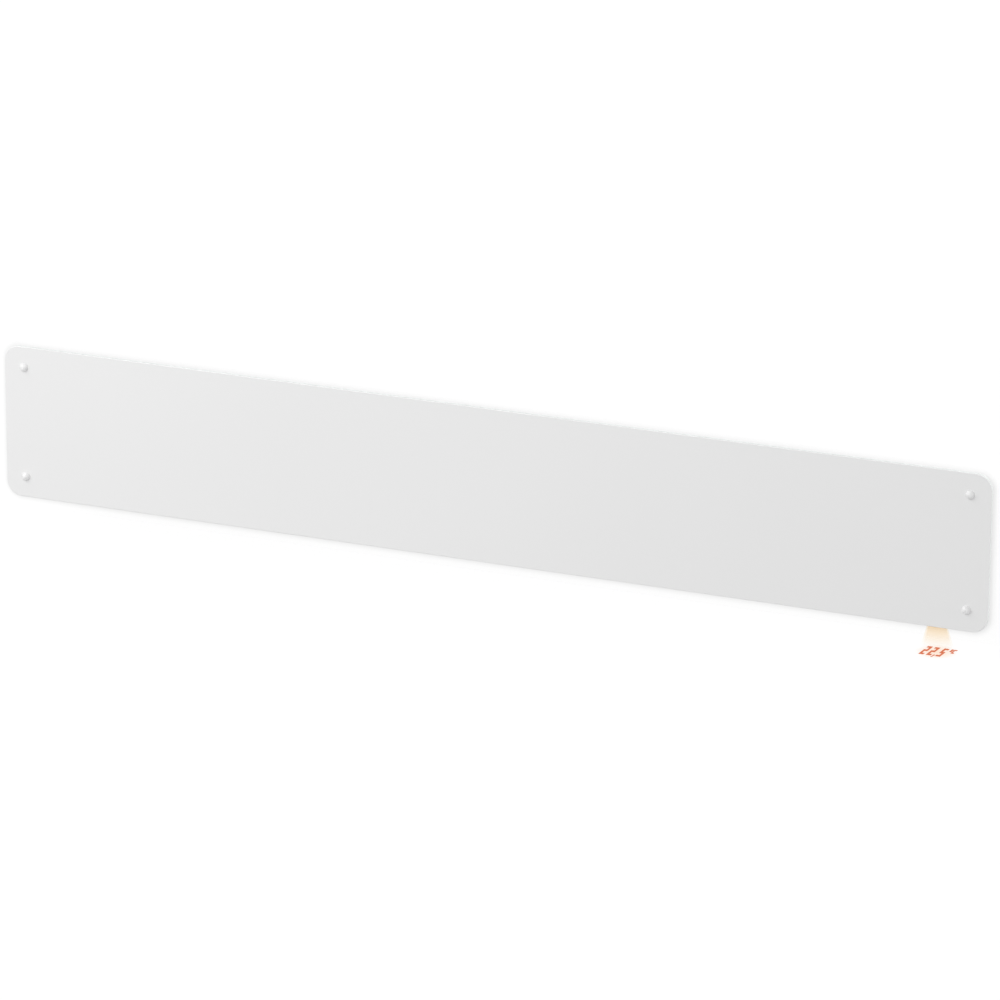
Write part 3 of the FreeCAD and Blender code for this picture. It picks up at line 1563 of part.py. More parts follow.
right_leg = wall_bracket_leg()
right_carrier = glass_carrier()
NODES = [
    right_leg,
    mirrored("left_wall_bracket", right_leg),
    bracket_crossbar(),
    bracket_rivets(),
    catch_springs(),
    pivot_lugs(),
    pivot_pins(),
    wall_bumpers(),
    rear_plate(),
    front_plate(),
    top_grille(),
    bottom_grille(),
    right_end_cap(),
    mirrored("left_end_cap", end_cap("plain_end_cap")),
    casing_screws(),
    right_carrier,
    mirrored("left_glass_carrier", right_carrier),
    carrier_rivets(),
    glass_standoffs(),
    glass_pads(),
    glass_bushes(),
    glass_screws(),
    screw_caps(),
    glass_front(),
    heating_element(),
    element_rod(),
    element_insulators(),
    element_terminals(),
    element_hangers(),
    element_cradle(),
    heat_shield("rear_heat_shield", "rear_in", 1),
    heat_shield("front_heat_shield", "front_in", -1),
    overheat_cutouts(),
    control_bulkhead(),
    bulkhead_grommets(),
    control_tray(),
    control_board(),
    board_screws(),
    power_relay(),
    power_supply(),
    buffer_capacitor(),
    terminal_block(),
    tact_switches(),
    control_panel(),
    minus_button(),
    mode_button(),
    plus_button(),
    rocker_frame(),
    rocker(),
    projector_housing(),
    projector_lens(),
    projector_mask(),
    projector_lamp(),
    projector_bezel(),
    sensor_holder(),
    room_sensor(),
    cord_gland(),
    gland_nut(),
    group("cutout_leads", [feed_lead(), link_lead(), left_lead()]),
    right_lead(),
]
doc.recompute()

for item in doc.Objects:
    if "Invalid" in item.State or "Error" in item.State:
        raise ValueError(f"{item.Label} did not build: {item.State}")
for node in NODES:
    if node.Shape.isNull() or not node.Shape.isValid() or not node.Shape.Solids:
        raise ValueError(node.Label + " has no valid solid")

os.makedirs("parts", exist_ok=True)
for node in NODES:
    node.Shape.exportStep(f"parts/{node.Label}.step")
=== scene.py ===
"""Looks of the glass panel heater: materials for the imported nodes, the stage, the light and the camera.

Lengths are in metres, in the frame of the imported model: X along the wall, Y into the wall, Z up.
"""
import json
import math

import bpy
from mathutils import Matrix, Vector


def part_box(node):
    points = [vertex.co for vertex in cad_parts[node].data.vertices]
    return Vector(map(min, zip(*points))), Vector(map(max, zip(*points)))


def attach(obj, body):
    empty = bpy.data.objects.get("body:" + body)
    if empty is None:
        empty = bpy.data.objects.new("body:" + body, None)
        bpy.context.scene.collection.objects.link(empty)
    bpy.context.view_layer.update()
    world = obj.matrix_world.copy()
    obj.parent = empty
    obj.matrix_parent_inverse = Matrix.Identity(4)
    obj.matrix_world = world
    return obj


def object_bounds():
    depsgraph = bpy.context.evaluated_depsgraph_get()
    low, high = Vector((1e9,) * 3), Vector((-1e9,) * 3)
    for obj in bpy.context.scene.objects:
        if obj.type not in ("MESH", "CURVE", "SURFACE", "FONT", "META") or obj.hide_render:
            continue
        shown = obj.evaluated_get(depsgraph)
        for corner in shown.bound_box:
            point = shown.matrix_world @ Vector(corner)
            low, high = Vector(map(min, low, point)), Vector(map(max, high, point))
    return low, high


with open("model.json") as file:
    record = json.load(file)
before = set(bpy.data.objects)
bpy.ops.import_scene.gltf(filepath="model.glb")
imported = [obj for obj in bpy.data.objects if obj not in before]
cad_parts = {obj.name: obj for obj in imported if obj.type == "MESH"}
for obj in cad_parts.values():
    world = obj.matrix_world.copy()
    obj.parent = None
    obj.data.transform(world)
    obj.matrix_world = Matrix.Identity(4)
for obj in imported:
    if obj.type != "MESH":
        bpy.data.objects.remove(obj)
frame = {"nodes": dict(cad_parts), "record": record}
CAD_BOX = [list(corner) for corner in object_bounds()]
nodes = frame["nodes"]
scene = bpy.context.scene
scene.view_settings.view_transform = "Standard"

MM = 0.001
WHITE = (1.0, 1.0, 1.0)

# Camera, fitted to the corners and the caps of the glass in a 1000 x 1000 image, angles in degrees
CAMERA_AZIMUTH = 22.806
CAMERA_ELEVATION = 18.435
CAMERA_ROLL = 0.358
CAMERA_DISTANCE = 8.12
CAMERA_TARGET = Vector((0.0271, -0.087, -0.0173))
CAMERA_LENS = 215.54
CAMERA_SENSOR = 36.0
CAMERA_FAR = 100.0

# Lamps: name, place, aim, size, power in watts, and whether glossy surfaces mirror it
LAMPS = (
    ("key_lamp", (-1.98, -2.67, 2.21), (0.0, -0.05, 0.0), 4.0, 109.4, True),
    ("side_lamp", (4.0, 0.2, 0.8), (0.6, 0.0, 0.0), 1.5, 38.0, False),
    ("back_lamp", (1.8, 3.0, 2.2), (0.0, 0.0, 0.0), 2.0, 55.0, True),
    ("floor_lamp", (2.2, -0.3, -2.6), (0.2, -0.05, 0.0), 1.5, 9.0, False),
)
SKY_LIGHT = 0.56

# Floor, and the wall behind the bracket
FLOOR_Z = -0.157
WALL_GAP = 0.8 * MM
STAGE_REACH = 4.0
STAGE_GLOW = 0.93
STAGE_ALBEDO = 0.1

# Soft shadow that lies round the outline of the glass, just behind it
HALO_GAP = 0.5 * MM
HALO_INNER = -1.5 * MM
HALO_REACH = 11.0 * MM
HALO_RINGS = 6
HALO_CORNER_SIDES = 12
HALO_FADE = 1.7
HALO_COLOUR = (0.7, 0.7, 0.7)
HALO_RIGHT_SHARE = 0.85
HALO_LEFT_SHARE = 0.55
HALO_TOP_SHARE = 0.4
HALO_BOTTOM_SHARE = 0.8
GLASS_CORNER = 22.0 * MM

# Beam between the lens and the floor, in shells that soften its edge
LENS_LOW, LENS_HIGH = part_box("projector_lens")
BEAM_X = (LENS_LOW[0] + LENS_HIGH[0]) / 2
BEAM_Y = (LENS_LOW[1] + LENS_HIGH[1]) / 2
BEAM_TOP = LENS_LOW[2] - 0.4 * MM
BEAM_FULL_Z = BEAM_TOP - 28.0 * MM
BEAM_GONE_Z = FLOOR_Z + 6.0 * MM
BEAM_SIDES = 48
# Share of the way down, shift along X, half width and half depth of each end
BEAM_ENDS = (
    (0.0, -1.0 * MM, 2.5 * MM, 3.0 * MM),
    (1.0, 1.8 * MM, 23.2 * MM, 14.0 * MM),
)
BEAM_SHELL_SHARES = (0.93, 1.07)
BEAM_TINT = (0.95, 0.72, 0.46)

# Patch of pale light that the figures lie in
PATCH_X = BEAM_X + 2.5 * MM
PATCH_Y = BEAM_Y - 6.5 * MM
PATCH_HALF_X = 31.0 * MM
PATCH_HALF_Y = 30.0 * MM
PATCH_RINGS = 8
PATCH_SIDES = 40
PATCH_FADE = 1.4
PATCH_COLOUR = (1.0, 0.8, 0.66)

# Reading that the projector throws on the floor, in strokes named a to g as on a seven-stroke display
READING_X = BEAM_X - 16.6 * MM
READING_Y = BEAM_Y - 23.0 * MM
READING_LIFT = 0.4 * MM
READING_COLOUR = (0.72, 0.2, 0.1)
FIGURE_WIDTH = 7.0 * MM
FIGURE_HEIGHT = 34.0 * MM
FIGURE_PITCH = 10.4 * MM
FIGURE_SLANT = 2.6 * MM
SLANT_FOOT_SHARE = 0.3
STROKE_ACROSS = 3.2 * MM
STROKE_ALONG = 6.3 * MM
# Strokes, left edge in pitches, foot and height as shares of the figure's height, then shares of its
# width and of its stroke
FIGURES = (
    ("abged", 0.0, 0.0, 1.0, 1.0, 1.0),
    ("abged", 1.0, 0.0, 1.0, 1.0, 1.0),
    ("afgcd", 2.24, 0.0, 1.0, 1.0, 1.0),
    ("abgf", 3.22, 0.48, 0.52, 0.5, 0.62),
    ("afed", 3.6, 0.53, 0.47, 0.62, 0.62),
)
COMMA_PITCHES = 1.9
COMMA_CORNERS = (
    (-0.8 * MM, -5.0 * MM),
    (1.0 * MM, -5.0 * MM),
    (2.6 * MM, 5.4 * MM),
    (0.0, 5.4 * MM),
)

# Marks of the rocker and of the push buttons, and how squarely a painted surface faces out
ROCKER_MARK_STEP = 4.9 * MM
ROCKER_MARK_RADIUS = 1.7 * MM
ROCKER_MARK_LINE = 0.55 * MM
ROCKER_MARK_FACING = 0.7
BUTTON_MARK_LEAST = 0.3 * MM
BUTTON_MARK_MOST = 0.5 * MM
BUTTON_MARK_FACING = 0.9
MARK_PAINT = (0.8, 0.8, 0.79)

# Middle range of a noise texture, and the squeeze of the grain that runs along an axis
NOISE_LOW = 0.3
NOISE_HIGH = 0.7
EVEN = (1.0, 1.0, 1.0)
ALONG_X = (0.02, 1.0, 1.0)
ALONG_Z = (1.0, 1.0, 0.02)

BLACK_PLASTIC = (0.028, 0.028, 0.03)
GREY_PLASTIC = (0.2, 0.205, 0.215)


# Shader building blocks, with texture scales in features per metre

def new_material(name):
    """A material, its node tree and its Principled shader."""
    material = bpy.data.materials.new(name)
    material.use_nodes = True
    return material, material.node_tree, material.node_tree.nodes["Principled BSDF"]


def add_node(tree, kind, **settings):
    """A node with its properties set."""
    made = tree.nodes.new(kind)
    for key, setting in settings.items():
        setattr(made, key, setting)
    return made


def feed(tree, socket, source):
    """Link a socket, or set it to a number or colour."""
    if isinstance(source, bpy.types.NodeSocket):
        tree.links.new(source, socket)
    elif isinstance(source, tuple) and len(source) == 3 and socket.type == "RGBA":
        socket.default_value = (*source, 1.0)
    else:
        socket.default_value = source


def texture_place(tree, stretch=EVEN):
    """Object coordinates, squeezed along chosen axes for grain."""
    coords = add_node(tree, "ShaderNodeTexCoord").outputs["Object"]
    mapping = add_node(tree, "ShaderNodeMapping")
    mapping.inputs["Scale"].default_value = stretch
    tree.links.new(coords, mapping.inputs["Vector"])
    return mapping.outputs["Vector"]


def noise(tree, scale, detail=3.0, stretch=EVEN):
    """Noise texture."""
    made = add_node(tree, "ShaderNodeTexNoise")
    made.inputs["Scale"].default_value = scale
    made.inputs["Detail"].default_value = detail
    tree.links.new(texture_place(tree, stretch), made.inputs["Vector"])
    return made.outputs["Fac"]


def cell_distance(tree, scale, metric="EUCLIDEAN"):
    """Distance from the middle of each cell of a cell texture."""
    made = add_node(tree, "ShaderNodeTexVoronoi", distance=metric)
    made.inputs["Scale"].default_value = scale
    tree.links.new(texture_place(tree), made.inputs["Vector"])
    return made.outputs["Distance"]


def spread(tree, source, low=0.0, high=1.0, from_low=NOISE_LOW, from_high=NOISE_HIGH):
    """A range of a value spread between two others, by default the middle range of a noise texture."""
    made = add_node(tree, "ShaderNodeMapRange")
    feed(tree, made.inputs["Value"], source)
    made.inputs["From Min"].default_value = from_low
    made.inputs["From Max"].default_value = from_high
    made.inputs["To Min"].default_value = low
    made.inputs["To Max"].default_value = high
    return made.outputs["Result"]


def blend(tree, factor, first, second):
    """A mix of two colours."""
    made = add_node(tree, "ShaderNodeMix", data_type="RGBA")
    colours = [socket for socket in made.inputs if socket.type == "RGBA"]
    feed(tree, made.inputs[0], factor)
    feed(tree, colours[0], first)
    feed(tree, colours[1], second)
    return [socket for socket in made.outputs if socket.type == "RGBA"][0]


def balance(tree, factor, first, second):
    """A mix of two numbers."""
    made = add_node(tree, "ShaderNodeMix", data_type="FLOAT")
    feed(tree, made.inputs["Factor"], factor)
    feed(tree, made.inputs["A"], first)
    feed(tree, made.inputs["B"], second)
    return made.outputs["Result"]


def compute(tree, operation, first, second=None, **settings):
    """A math node on one or two values."""
    made = add_node(tree, "ShaderNodeMath", operation=operation, **settings)
    feed(tree, made.inputs[0], first)
    if second is not None:
        feed(tree, made.inputs[1], second)
    return made.outputs["Value"]


def within(tree, source, low, high):
    """One where a value lies between two limits, else zero."""
    above = compute(tree, "GREATER_THAN", source, low)
    below = compute(tree, "LESS_THAN", source, high)
    return compute(tree, "MULTIPLY", above, below)


def one_axis(tree, output, axis):
    """One axis of an object's coordinates or normals."""
    parts = add_node(tree, "ShaderNodeSeparateXYZ")
    tree.links.new(add_node(tree, "ShaderNodeTexCoord").outputs[output], parts.inputs["Vector"])
    return parts.outputs[axis]


def coordinate(tree, axis):
    """One object coordinate."""
    return one_axis(tree, "Object", axis)


def facing(tree, axis):
    """How far a surface faces along an axis of the object, from -1 to 1."""
    return one_axis(tree, "Normal", axis)


def raise_bumps(tree, shader, height, depth, strength=1.0, round_edge=0.0):
    """Bumps of a depth from a texture, over softened edges."""
    bump = add_node(tree, "ShaderNodeBump")
    bump.inputs["Strength"].default_value = strength
    bump.inputs["Distance"].default_value = depth
    feed(tree, bump.inputs["Height"], height)
    if round_edge:
        edge = add_node(tree, "ShaderNodeBevel", samples=4)
        edge.inputs["Radius"].default_value = round_edge
        tree.links.new(edge.outputs["Normal"], bump.inputs["Normal"])
    tree.links.new(bump.outputs["Normal"], shader.inputs["Normal"])


def tinted(colour, tint):
    """A colour multiplied by a number or by a tint."""
    tints = tint if isinstance(tint, tuple) else (tint, tint, tint)
    return tuple(part * share for part, share in zip(colour, tints))


# Materials of the heater

def moulded(name, colour, roughness, coat=0.0, grain_depth=0.03 * MM):
    """Moulded plastic with a fine eroded grain and faint cloudiness."""
    shade_share = 0.84
    shade_gain = 0.12
    roughness_play = 0.06
    material, tree, shader = new_material(name)
    darker = tuple((shade_share + shade_gain * part) * part for part in colour)
    clouds = spread(tree, noise(tree, scale=40.0, detail=4.0))
    feed(tree, shader.inputs["Base Color"], blend(tree, clouds, darker, colour))
    grain = noise(tree, scale=2200.0, detail=2.0)
    rough = spread(tree, grain, low=roughness - roughness_play, high=roughness + roughness_play)
    feed(tree, shader.inputs["Roughness"], rough)
    shader.inputs["Coat Weight"].default_value = coat
    shader.inputs["Coat Roughness"].default_value = 0.06
    raise_bumps(tree, shader, grain, depth=grain_depth, round_edge=0.4 * MM)
    return material


def soft_rubber(name, colour, roughness):
    """Rubber or silicone: dull, with fine mottling."""
    pale_share = 1.25
    pale_gain = 0.01
    smoother = 0.08
    rougher = 0.1
    material, tree, shader = new_material(name)
    paler = tuple(min(1.0, pale_share * part + pale_gain) for part in colour)
    dust = spread(tree, noise(tree, scale=160.0, detail=5.0))
    feed(tree, shader.inputs["Base Color"], blend(tree, dust, colour, paler))
    fine = noise(tree, scale=1800.0, detail=3.0)
    rough = spread(tree, fine, low=roughness - smoother, high=roughness + rougher)
    feed(tree, shader.inputs["Roughness"], rough)
    shader.inputs["Specular IOR Level"].default_value = 0.35
    raise_bumps(tree, shader, fine, depth=0.05 * MM, round_edge=0.3 * MM)
    return material


def powder_coat(name, colour):
    """Powder coat: pale paint with a fine orange-peel skin."""
    shade_share = 0.93
    material, tree, shader = new_material(name)
    clouds = spread(tree, noise(tree, scale=9.0, detail=4.0))
    feed(tree, shader.inputs["Base Color"], blend(tree, clouds, tinted(colour, shade_share), colour))
    peel = noise(tree, scale=750.0, detail=3.0)
    feed(tree, shader.inputs["Roughness"], spread(tree, peel, low=0.34, high=0.52))
    raise_bumps(tree, shader, peel, depth=0.09 * MM, round_edge=0.5 * MM)
    return material


def zinc_plate(name, colour):
    """Bright zinc: soft spangles and a faint yellow and blue cast."""
    warm_tint = (1.02, 0.99, 0.9)
    cool_tint = (0.9, 0.94, 1.0)
    dull_share = 0.8
    material, tree, shader = new_material(name)
    cast = spread(tree, noise(tree, scale=35.0, detail=4.0))
    plate = blend(tree, cast, tinted(colour, warm_tint), tinted(colour, cool_tint))
    spangle = spread(tree, cell_distance(tree, scale=420.0), high=0.35, from_low=0.1, from_high=0.6)
    feed(tree, shader.inputs["Base Color"], blend(tree, spangle, plate, tinted(colour, dull_share)))
    shader.inputs["Metallic"].default_value = 1.0
    scuff = noise(tree, scale=220.0, detail=6.0)
    feed(tree, shader.inputs["Roughness"], spread(tree, scuff, low=0.3, high=0.5))
    raise_bumps(tree, shader, scuff, depth=0.04 * MM, round_edge=0.4 * MM)
    return material


def drawn_metal(name, colour, roughness, stretch, line_scale=900.0):
    """Bare metal with the fine lines of drawing or rolling along one axis."""
    shade_share = 0.8
    smoother = 0.08
    rougher = 0.1
    material, tree, shader = new_material(name)
    lines = noise(tree, scale=line_scale, detail=4.0, stretch=stretch)
    streaks = blend(tree, spread(tree, lines), tinted(colour, shade_share), colour)
    feed(tree, shader.inputs["Base Color"], streaks)
    shader.inputs["Metallic"].default_value = 1.0
    rough = spread(tree, lines, low=roughness - smoother, high=roughness + rougher)
    feed(tree, shader.inputs["Roughness"], rough)
    raise_bumps(tree, shader, lines, depth=0.02 * MM, round_edge=0.3 * MM)
    return material


def fired_ceramic(name, colour):
    """Unglazed ceramic with dark specks."""
    speck_colour = (0.5, 0.46, 0.38)
    material, tree, shader = new_material(name)
    specks = spread(tree, noise(tree, scale=900.0, detail=5.0), from_low=0.62, from_high=0.74)
    feed(tree, shader.inputs["Base Color"], blend(tree, specks, colour, speck_colour))
    pores = noise(tree, scale=1400.0, detail=4.0)
    feed(tree, shader.inputs["Roughness"], spread(tree, pores, low=0.6, high=0.85))
    raise_bumps(tree, shader, pores, depth=0.06 * MM)
    return material


def printed_board(name, colour):
    """Circuit board: green mask with paler copper runs under it."""
    run_colour = (0.09, 0.34, 0.17)
    material, tree, shader = new_material(name)
    cells = cell_distance(tree, scale=190.0, metric="MANHATTAN")
    runs = spread(tree, cells, from_low=0.42, from_high=0.46)
    feed(tree, shader.inputs["Base Color"], blend(tree, runs, colour, run_colour))
    feed(tree, shader.inputs["Roughness"], spread(tree, noise(tree, scale=300.0), low=0.28, high=0.42))
    raise_bumps(tree, shader, runs, depth=0.04 * MM)
    return material


def lacquered_glass(name):
    """Toughened glass with white lacquer on its back: a clear gloss in front, green in its ground edge."""
    front_colour = (0.853, 0.853, 0.853)
    drift_share = 0.985
    rim_colours = ((0.74, 0.775, 0.76), (0.785, 0.815, 0.802))
    lacquer_colours = ((0.765, 0.77, 0.765), (0.795, 0.8, 0.795))
    material, tree, shader = new_material(name)
    depth_facing = facing(tree, "Y")
    flatness = compute(tree, "ABSOLUTE", depth_facing)
    on_rim = spread(tree, flatness, low=1.0, high=0.0, from_low=0.25, from_high=0.6)
    on_ground = spread(tree, flatness, low=1.0, high=0.0, from_low=0.75, from_high=0.9)
    on_back = spread(tree, depth_facing, from_low=0.5, from_high=0.8)
    drift = spread(tree, noise(tree, scale=2.2, detail=2.0))
    face = blend(tree, drift, tinted(front_colour, drift_share), front_colour)
    rim = blend(tree, spread(tree, noise(tree, scale=90.0)), *rim_colours)
    roller = noise(tree, scale=420.0, detail=5.0)
    lacquer = blend(tree, spread(tree, roller), *lacquer_colours)
    edged = blend(tree, on_rim, face, rim)
    feed(tree, shader.inputs["Base Color"], blend(tree, on_back, edged, lacquer))
    smear = spread(tree, noise(tree, scale=14.0, detail=5.0), low=0.06, high=0.11)
    ground = spread(tree, noise(tree, scale=700.0, detail=4.0), low=0.5, high=0.65)
    dull = spread(tree, roller, low=0.4, high=0.55)
    rough = balance(tree, on_back, balance(tree, on_ground, smear, ground), dull)
    feed(tree, shader.inputs["Roughness"], rough)
    shader.inputs["IOR"].default_value = 1.52
    wave = noise(tree, scale=5.0, detail=1.0)
    raise_bumps(tree, shader, wave, depth=0.2 * MM, strength=0.15)
    return material


def clear_lens(name):
    """Clear lens with a warm glow from the lamp behind it."""
    lens_colours = ((0.96, 0.9, 0.78), (1.0, 0.97, 0.9))
    glow_colour = (1.0, 0.62, 0.24)
    material, tree, shader = new_material(name)
    haze = noise(tree, scale=600.0, detail=3.0)
    feed(tree, shader.inputs["Base Color"], blend(tree, haze, *lens_colours))
    feed(tree, shader.inputs["Roughness"], spread(tree, haze, low=0.02, high=0.06))
    shader.inputs["Transmission Weight"].default_value = 0.85
    shader.inputs["IOR"].default_value = 1.49
    feed(tree, shader.inputs["Emission Color"], glow_colour)
    shader.inputs["Emission Strength"].default_value = 0.35
    return material


def paint_marks(material, mask):
    """White paint over a moulded material where a mask is one."""
    tree = material.node_tree
    colour_socket = tree.nodes["Principled BSDF"].inputs["Base Color"]
    plain = colour_socket.links[0].from_socket
    feed(tree, colour_socket, blend(tree, mask, plain, MARK_PAINT))
    return material


def marked_button(name):
    """Grey button whose sunk mark is filled with white paint."""
    material = moulded(name, GREY_PLASTIC, roughness=0.44)
    tree = material.node_tree
    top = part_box("mode_button")[1][2]
    sunk = within(tree, coordinate(tree, "Z"), top - BUTTON_MARK_MOST, top - BUTTON_MARK_LEAST)
    level = compute(tree, "GREATER_THAN", facing(tree, "Z"), BUTTON_MARK_FACING)
    return paint_marks(material, compute(tree, "MULTIPLY", sunk, level))


def marked_rocker(name):
    """Black rocker with a ring near its upper end and a bar near its lower end."""
    material = moulded(name, BLACK_PLASTIC, roughness=0.38)
    tree = material.node_tree
    low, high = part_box("rocker")
    middle_y = (low[1] + high[1]) / 2
    middle_z = (low[2] + high[2]) / 2
    bar_z = middle_z - ROCKER_MARK_STEP
    across = coordinate(tree, "Y")
    along = coordinate(tree, "Z")
    flat = add_node(tree, "ShaderNodeCombineXYZ")
    tree.links.new(across, flat.inputs["Y"])
    tree.links.new(along, flat.inputs["Z"])
    away = add_node(tree, "ShaderNodeVectorMath", operation="DISTANCE")
    tree.links.new(flat.outputs["Vector"], away.inputs[0])
    away.inputs[1].default_value = (0.0, middle_y, middle_z + ROCKER_MARK_STEP)
    ring = within(tree, away.outputs["Value"], ROCKER_MARK_RADIUS - ROCKER_MARK_LINE, ROCKER_MARK_RADIUS)
    thin = within(tree, across, middle_y - ROCKER_MARK_LINE / 2, middle_y + ROCKER_MARK_LINE / 2)
    tall = within(tree, along, bar_z - ROCKER_MARK_RADIUS, bar_z + ROCKER_MARK_RADIUS)
    both = compute(tree, "MAXIMUM", ring, compute(tree, "MULTIPLY", thin, tall))
    outer = compute(tree, "GREATER_THAN", facing(tree, "X"), ROCKER_MARK_FACING)
    return paint_marks(material, compute(tree, "MULTIPLY", both, outer))


def slot_materials():
    """A material for each material slot of the record."""
    return {
        "white_glass": lacquered_glass("white_glass"),
        "white_gloss_plastic": moulded("white_gloss_plastic", (0.86, 0.86, 0.86), roughness=0.32, coat=0.2,
                                       grain_depth=0.004 * MM),
        "white_paint": powder_coat("white_paint", (0.82, 0.82, 0.81)),
        "white_plastic": moulded("white_plastic", (0.8, 0.8, 0.79), roughness=0.42),
        "zinc_steel": zinc_plate("zinc_steel", (0.66, 0.67, 0.69)),
        "spring_steel": drawn_metal("spring_steel", (0.3, 0.31, 0.35), roughness=0.34, stretch=ALONG_Z),
        "aluminised_steel": drawn_metal("aluminised_steel", (0.72, 0.73, 0.74), roughness=0.42,
                                        stretch=ALONG_X, line_scale=500.0),
        "aluminium": drawn_metal("aluminium", (0.76, 0.77, 0.78), roughness=0.36, stretch=ALONG_X),
        "stainless": drawn_metal("stainless", (0.56, 0.56, 0.57), roughness=0.3, stretch=ALONG_X),
        "ceramic": fired_ceramic("ceramic", (0.82, 0.79, 0.7)),
        "brass": drawn_metal("brass", (0.72, 0.52, 0.2), roughness=0.3, stretch=ALONG_X),
        "black_plastic": moulded("black_plastic", BLACK_PLASTIC, roughness=0.46),
        "grey_plastic": moulded("grey_plastic", GREY_PLASTIC, roughness=0.44),
        "natural_nylon": moulded("natural_nylon", (0.74, 0.7, 0.6), roughness=0.5),
        "black_rubber": soft_rubber("black_rubber", (0.022, 0.022, 0.023), roughness=0.72),
        "silicone": soft_rubber("silicone", (0.6, 0.6, 0.58), roughness=0.55),
        "circuit_board": printed_board("circuit_board", (0.02, 0.16, 0.07)),
        "blue_plastic": moulded("blue_plastic", (0.02, 0.06, 0.24), roughness=0.4),
        "clear_lens": clear_lens("clear_lens"),
        "lead_red": soft_rubber("lead_red", (0.4, 0.03, 0.02), roughness=0.5),
        "lead_white": soft_rubber("lead_white", (0.68, 0.66, 0.62), roughness=0.5),
    }


def dress_nodes():
    """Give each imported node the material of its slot, or one with marks of its own."""
    by_slot = slot_materials()
    by_node = {"rocker": marked_rocker("rocker_black")}
    button_grey = marked_button("button_grey")
    for button in ("minus_button", "mode_button", "plus_button"):
        by_node[button] = button_grey
    for part in frame["record"]["subparts"]:
        slots = nodes[part["node"]].data.materials
        slots.clear()
        slots.append(by_node.get(part["node"], by_slot[part["material_slot"]]))


# Stage materials

def bare_material(name):
    """A material with an empty node tree."""
    material = bpy.data.materials.new(name)
    material.use_nodes = True
    material.node_tree.nodes.clear()
    return material, material.node_tree


def set_surface(tree, shader_output):
    """Make a shader the surface of its material."""
    output = add_node(tree, "ShaderNodeOutputMaterial")
    tree.links.new(shader_output, output.inputs["Surface"])


def on_front(tree, amount):
    """An amount on the front side of a surface, and zero on its back."""
    sides = add_node(tree, "ShaderNodeNewGeometry")
    return compute(tree, "SUBTRACT", amount, sides.outputs["Backfacing"], use_clamp=True)


def camera_front(tree):
    """One where the camera sees the front side of a surface, else zero."""
    return on_front(tree, add_node(tree, "ShaderNodeLightPath").outputs["Is Camera Ray"])


def clear_tint(tree, colour):
    """A clear shader that takes a colour from what lies behind it."""
    clear = add_node(tree, "ShaderNodeBsdfTransparent")
    feed(tree, clear.inputs["Color"], colour)
    return clear.outputs["BSDF"]


def stage_material():
    """White for the camera on its front side, with the soft shadows of the object; clear for all else."""
    material, tree = bare_material("stage_white")
    glow = add_node(tree, "ShaderNodeEmission")
    glow.inputs["Strength"].default_value = STAGE_GLOW
    shade = add_node(tree, "ShaderNodeBsdfDiffuse")
    feed(tree, shade.inputs["Color"], tinted(WHITE, STAGE_ALBEDO))
    both = add_node(tree, "ShaderNodeAddShader")
    tree.links.new(glow.outputs["Emission"], both.inputs[0])
    tree.links.new(shade.outputs["BSDF"], both.inputs[1])
    choose = add_node(tree, "ShaderNodeMixShader")
    tree.links.new(camera_front(tree), choose.inputs[0])
    tree.links.new(clear_tint(tree, WHITE), choose.inputs[1])
    tree.links.new(both.outputs["Shader"], choose.inputs[2])
    set_surface(tree, choose.outputs["Shader"])
    return material


def film_material(name, colour):
    """A clear coloured film for the camera alone, as strong as the mesh says."""
    material, tree = bare_material(name)
    shade = add_node(tree, "ShaderNodeAttribute", attribute_name="shade")
    amount = compute(tree, "MULTIPLY", shade.outputs["Fac"], camera_front(tree))
    set_surface(tree, clear_tint(tree, blend(tree, amount, WHITE, colour)))
    return material


def reading_material():
    """The plain glowing colour of the figures."""
    material, tree = bare_material("reading_light")
    glow = add_node(tree, "ShaderNodeEmission")
    feed(tree, glow.inputs["Color"], READING_COLOUR)
    set_surface(tree, glow.outputs["Emission"])
    return material


def beam_material():
    """Clear amber that fades towards the floor, on the front side of each shell."""
    material, tree = bare_material("beam_light")
    shell_tint = tuple(part ** (1 / len(BEAM_SHELL_SHARES)) for part in BEAM_TINT)
    fade = spread(tree, coordinate(tree, "Z"), from_low=BEAM_GONE_Z, from_high=BEAM_FULL_Z)
    set_surface(tree, clear_tint(tree, blend(tree, on_front(tree, fade), WHITE, shell_tint)))
    return material


# Stage shapes

def add_mesh(name, points, faces, material):
    """An object from points and faces."""
    mesh = bpy.data.meshes.new(name)
    mesh.from_pydata(points, [], faces)
    mesh.materials.append(material)
    made = bpy.data.objects.new(name, mesh)
    scene.collection.objects.link(made)
    return made


def add_film(name, points, faces, shades, material):
    """A film whose strength at each point is kept in its mesh."""
    film = add_mesh(name, points, faces, material)
    film.data.attributes.new("shade", "FLOAT", "POINT").data.foreach_set("value", shades)
    return film


def ring_faces(sides, rows, first=0):
    """Faces between closed rows of points that follow each other."""
    faces = []
    for row in range(rows - 1):
        for side in range(sides):
            here = first + row * sides + side
            after = first + row * sides + (side + 1) % sides
            faces.append((here, here + sides, after + sides, after))
    return faces


def round_turns(sides):
    """Angles of the points of a closed row."""
    return [2 * math.pi * side / sides for side in range(sides)]


def add_floor_and_wall():
    """The floor, and the wall that the bracket hangs on."""
    white = stage_material()
    far = STAGE_REACH
    wall_y = CAD_BOX[1][1] + WALL_GAP
    one_face = [(0, 1, 2, 3)]
    floor_corners = [(-far, -far, FLOOR_Z), (far, -far, FLOOR_Z), (far, far, FLOOR_Z), (-far, far, FLOOR_Z)]
    wall_corners = [(-far, wall_y, FLOOR_Z), (far, wall_y, FLOOR_Z), (far, wall_y, far), (-far, wall_y, far)]
    floor = add_mesh("floor", floor_corners, one_face, white)
    wall = add_mesh("wall", wall_corners, one_face, white)


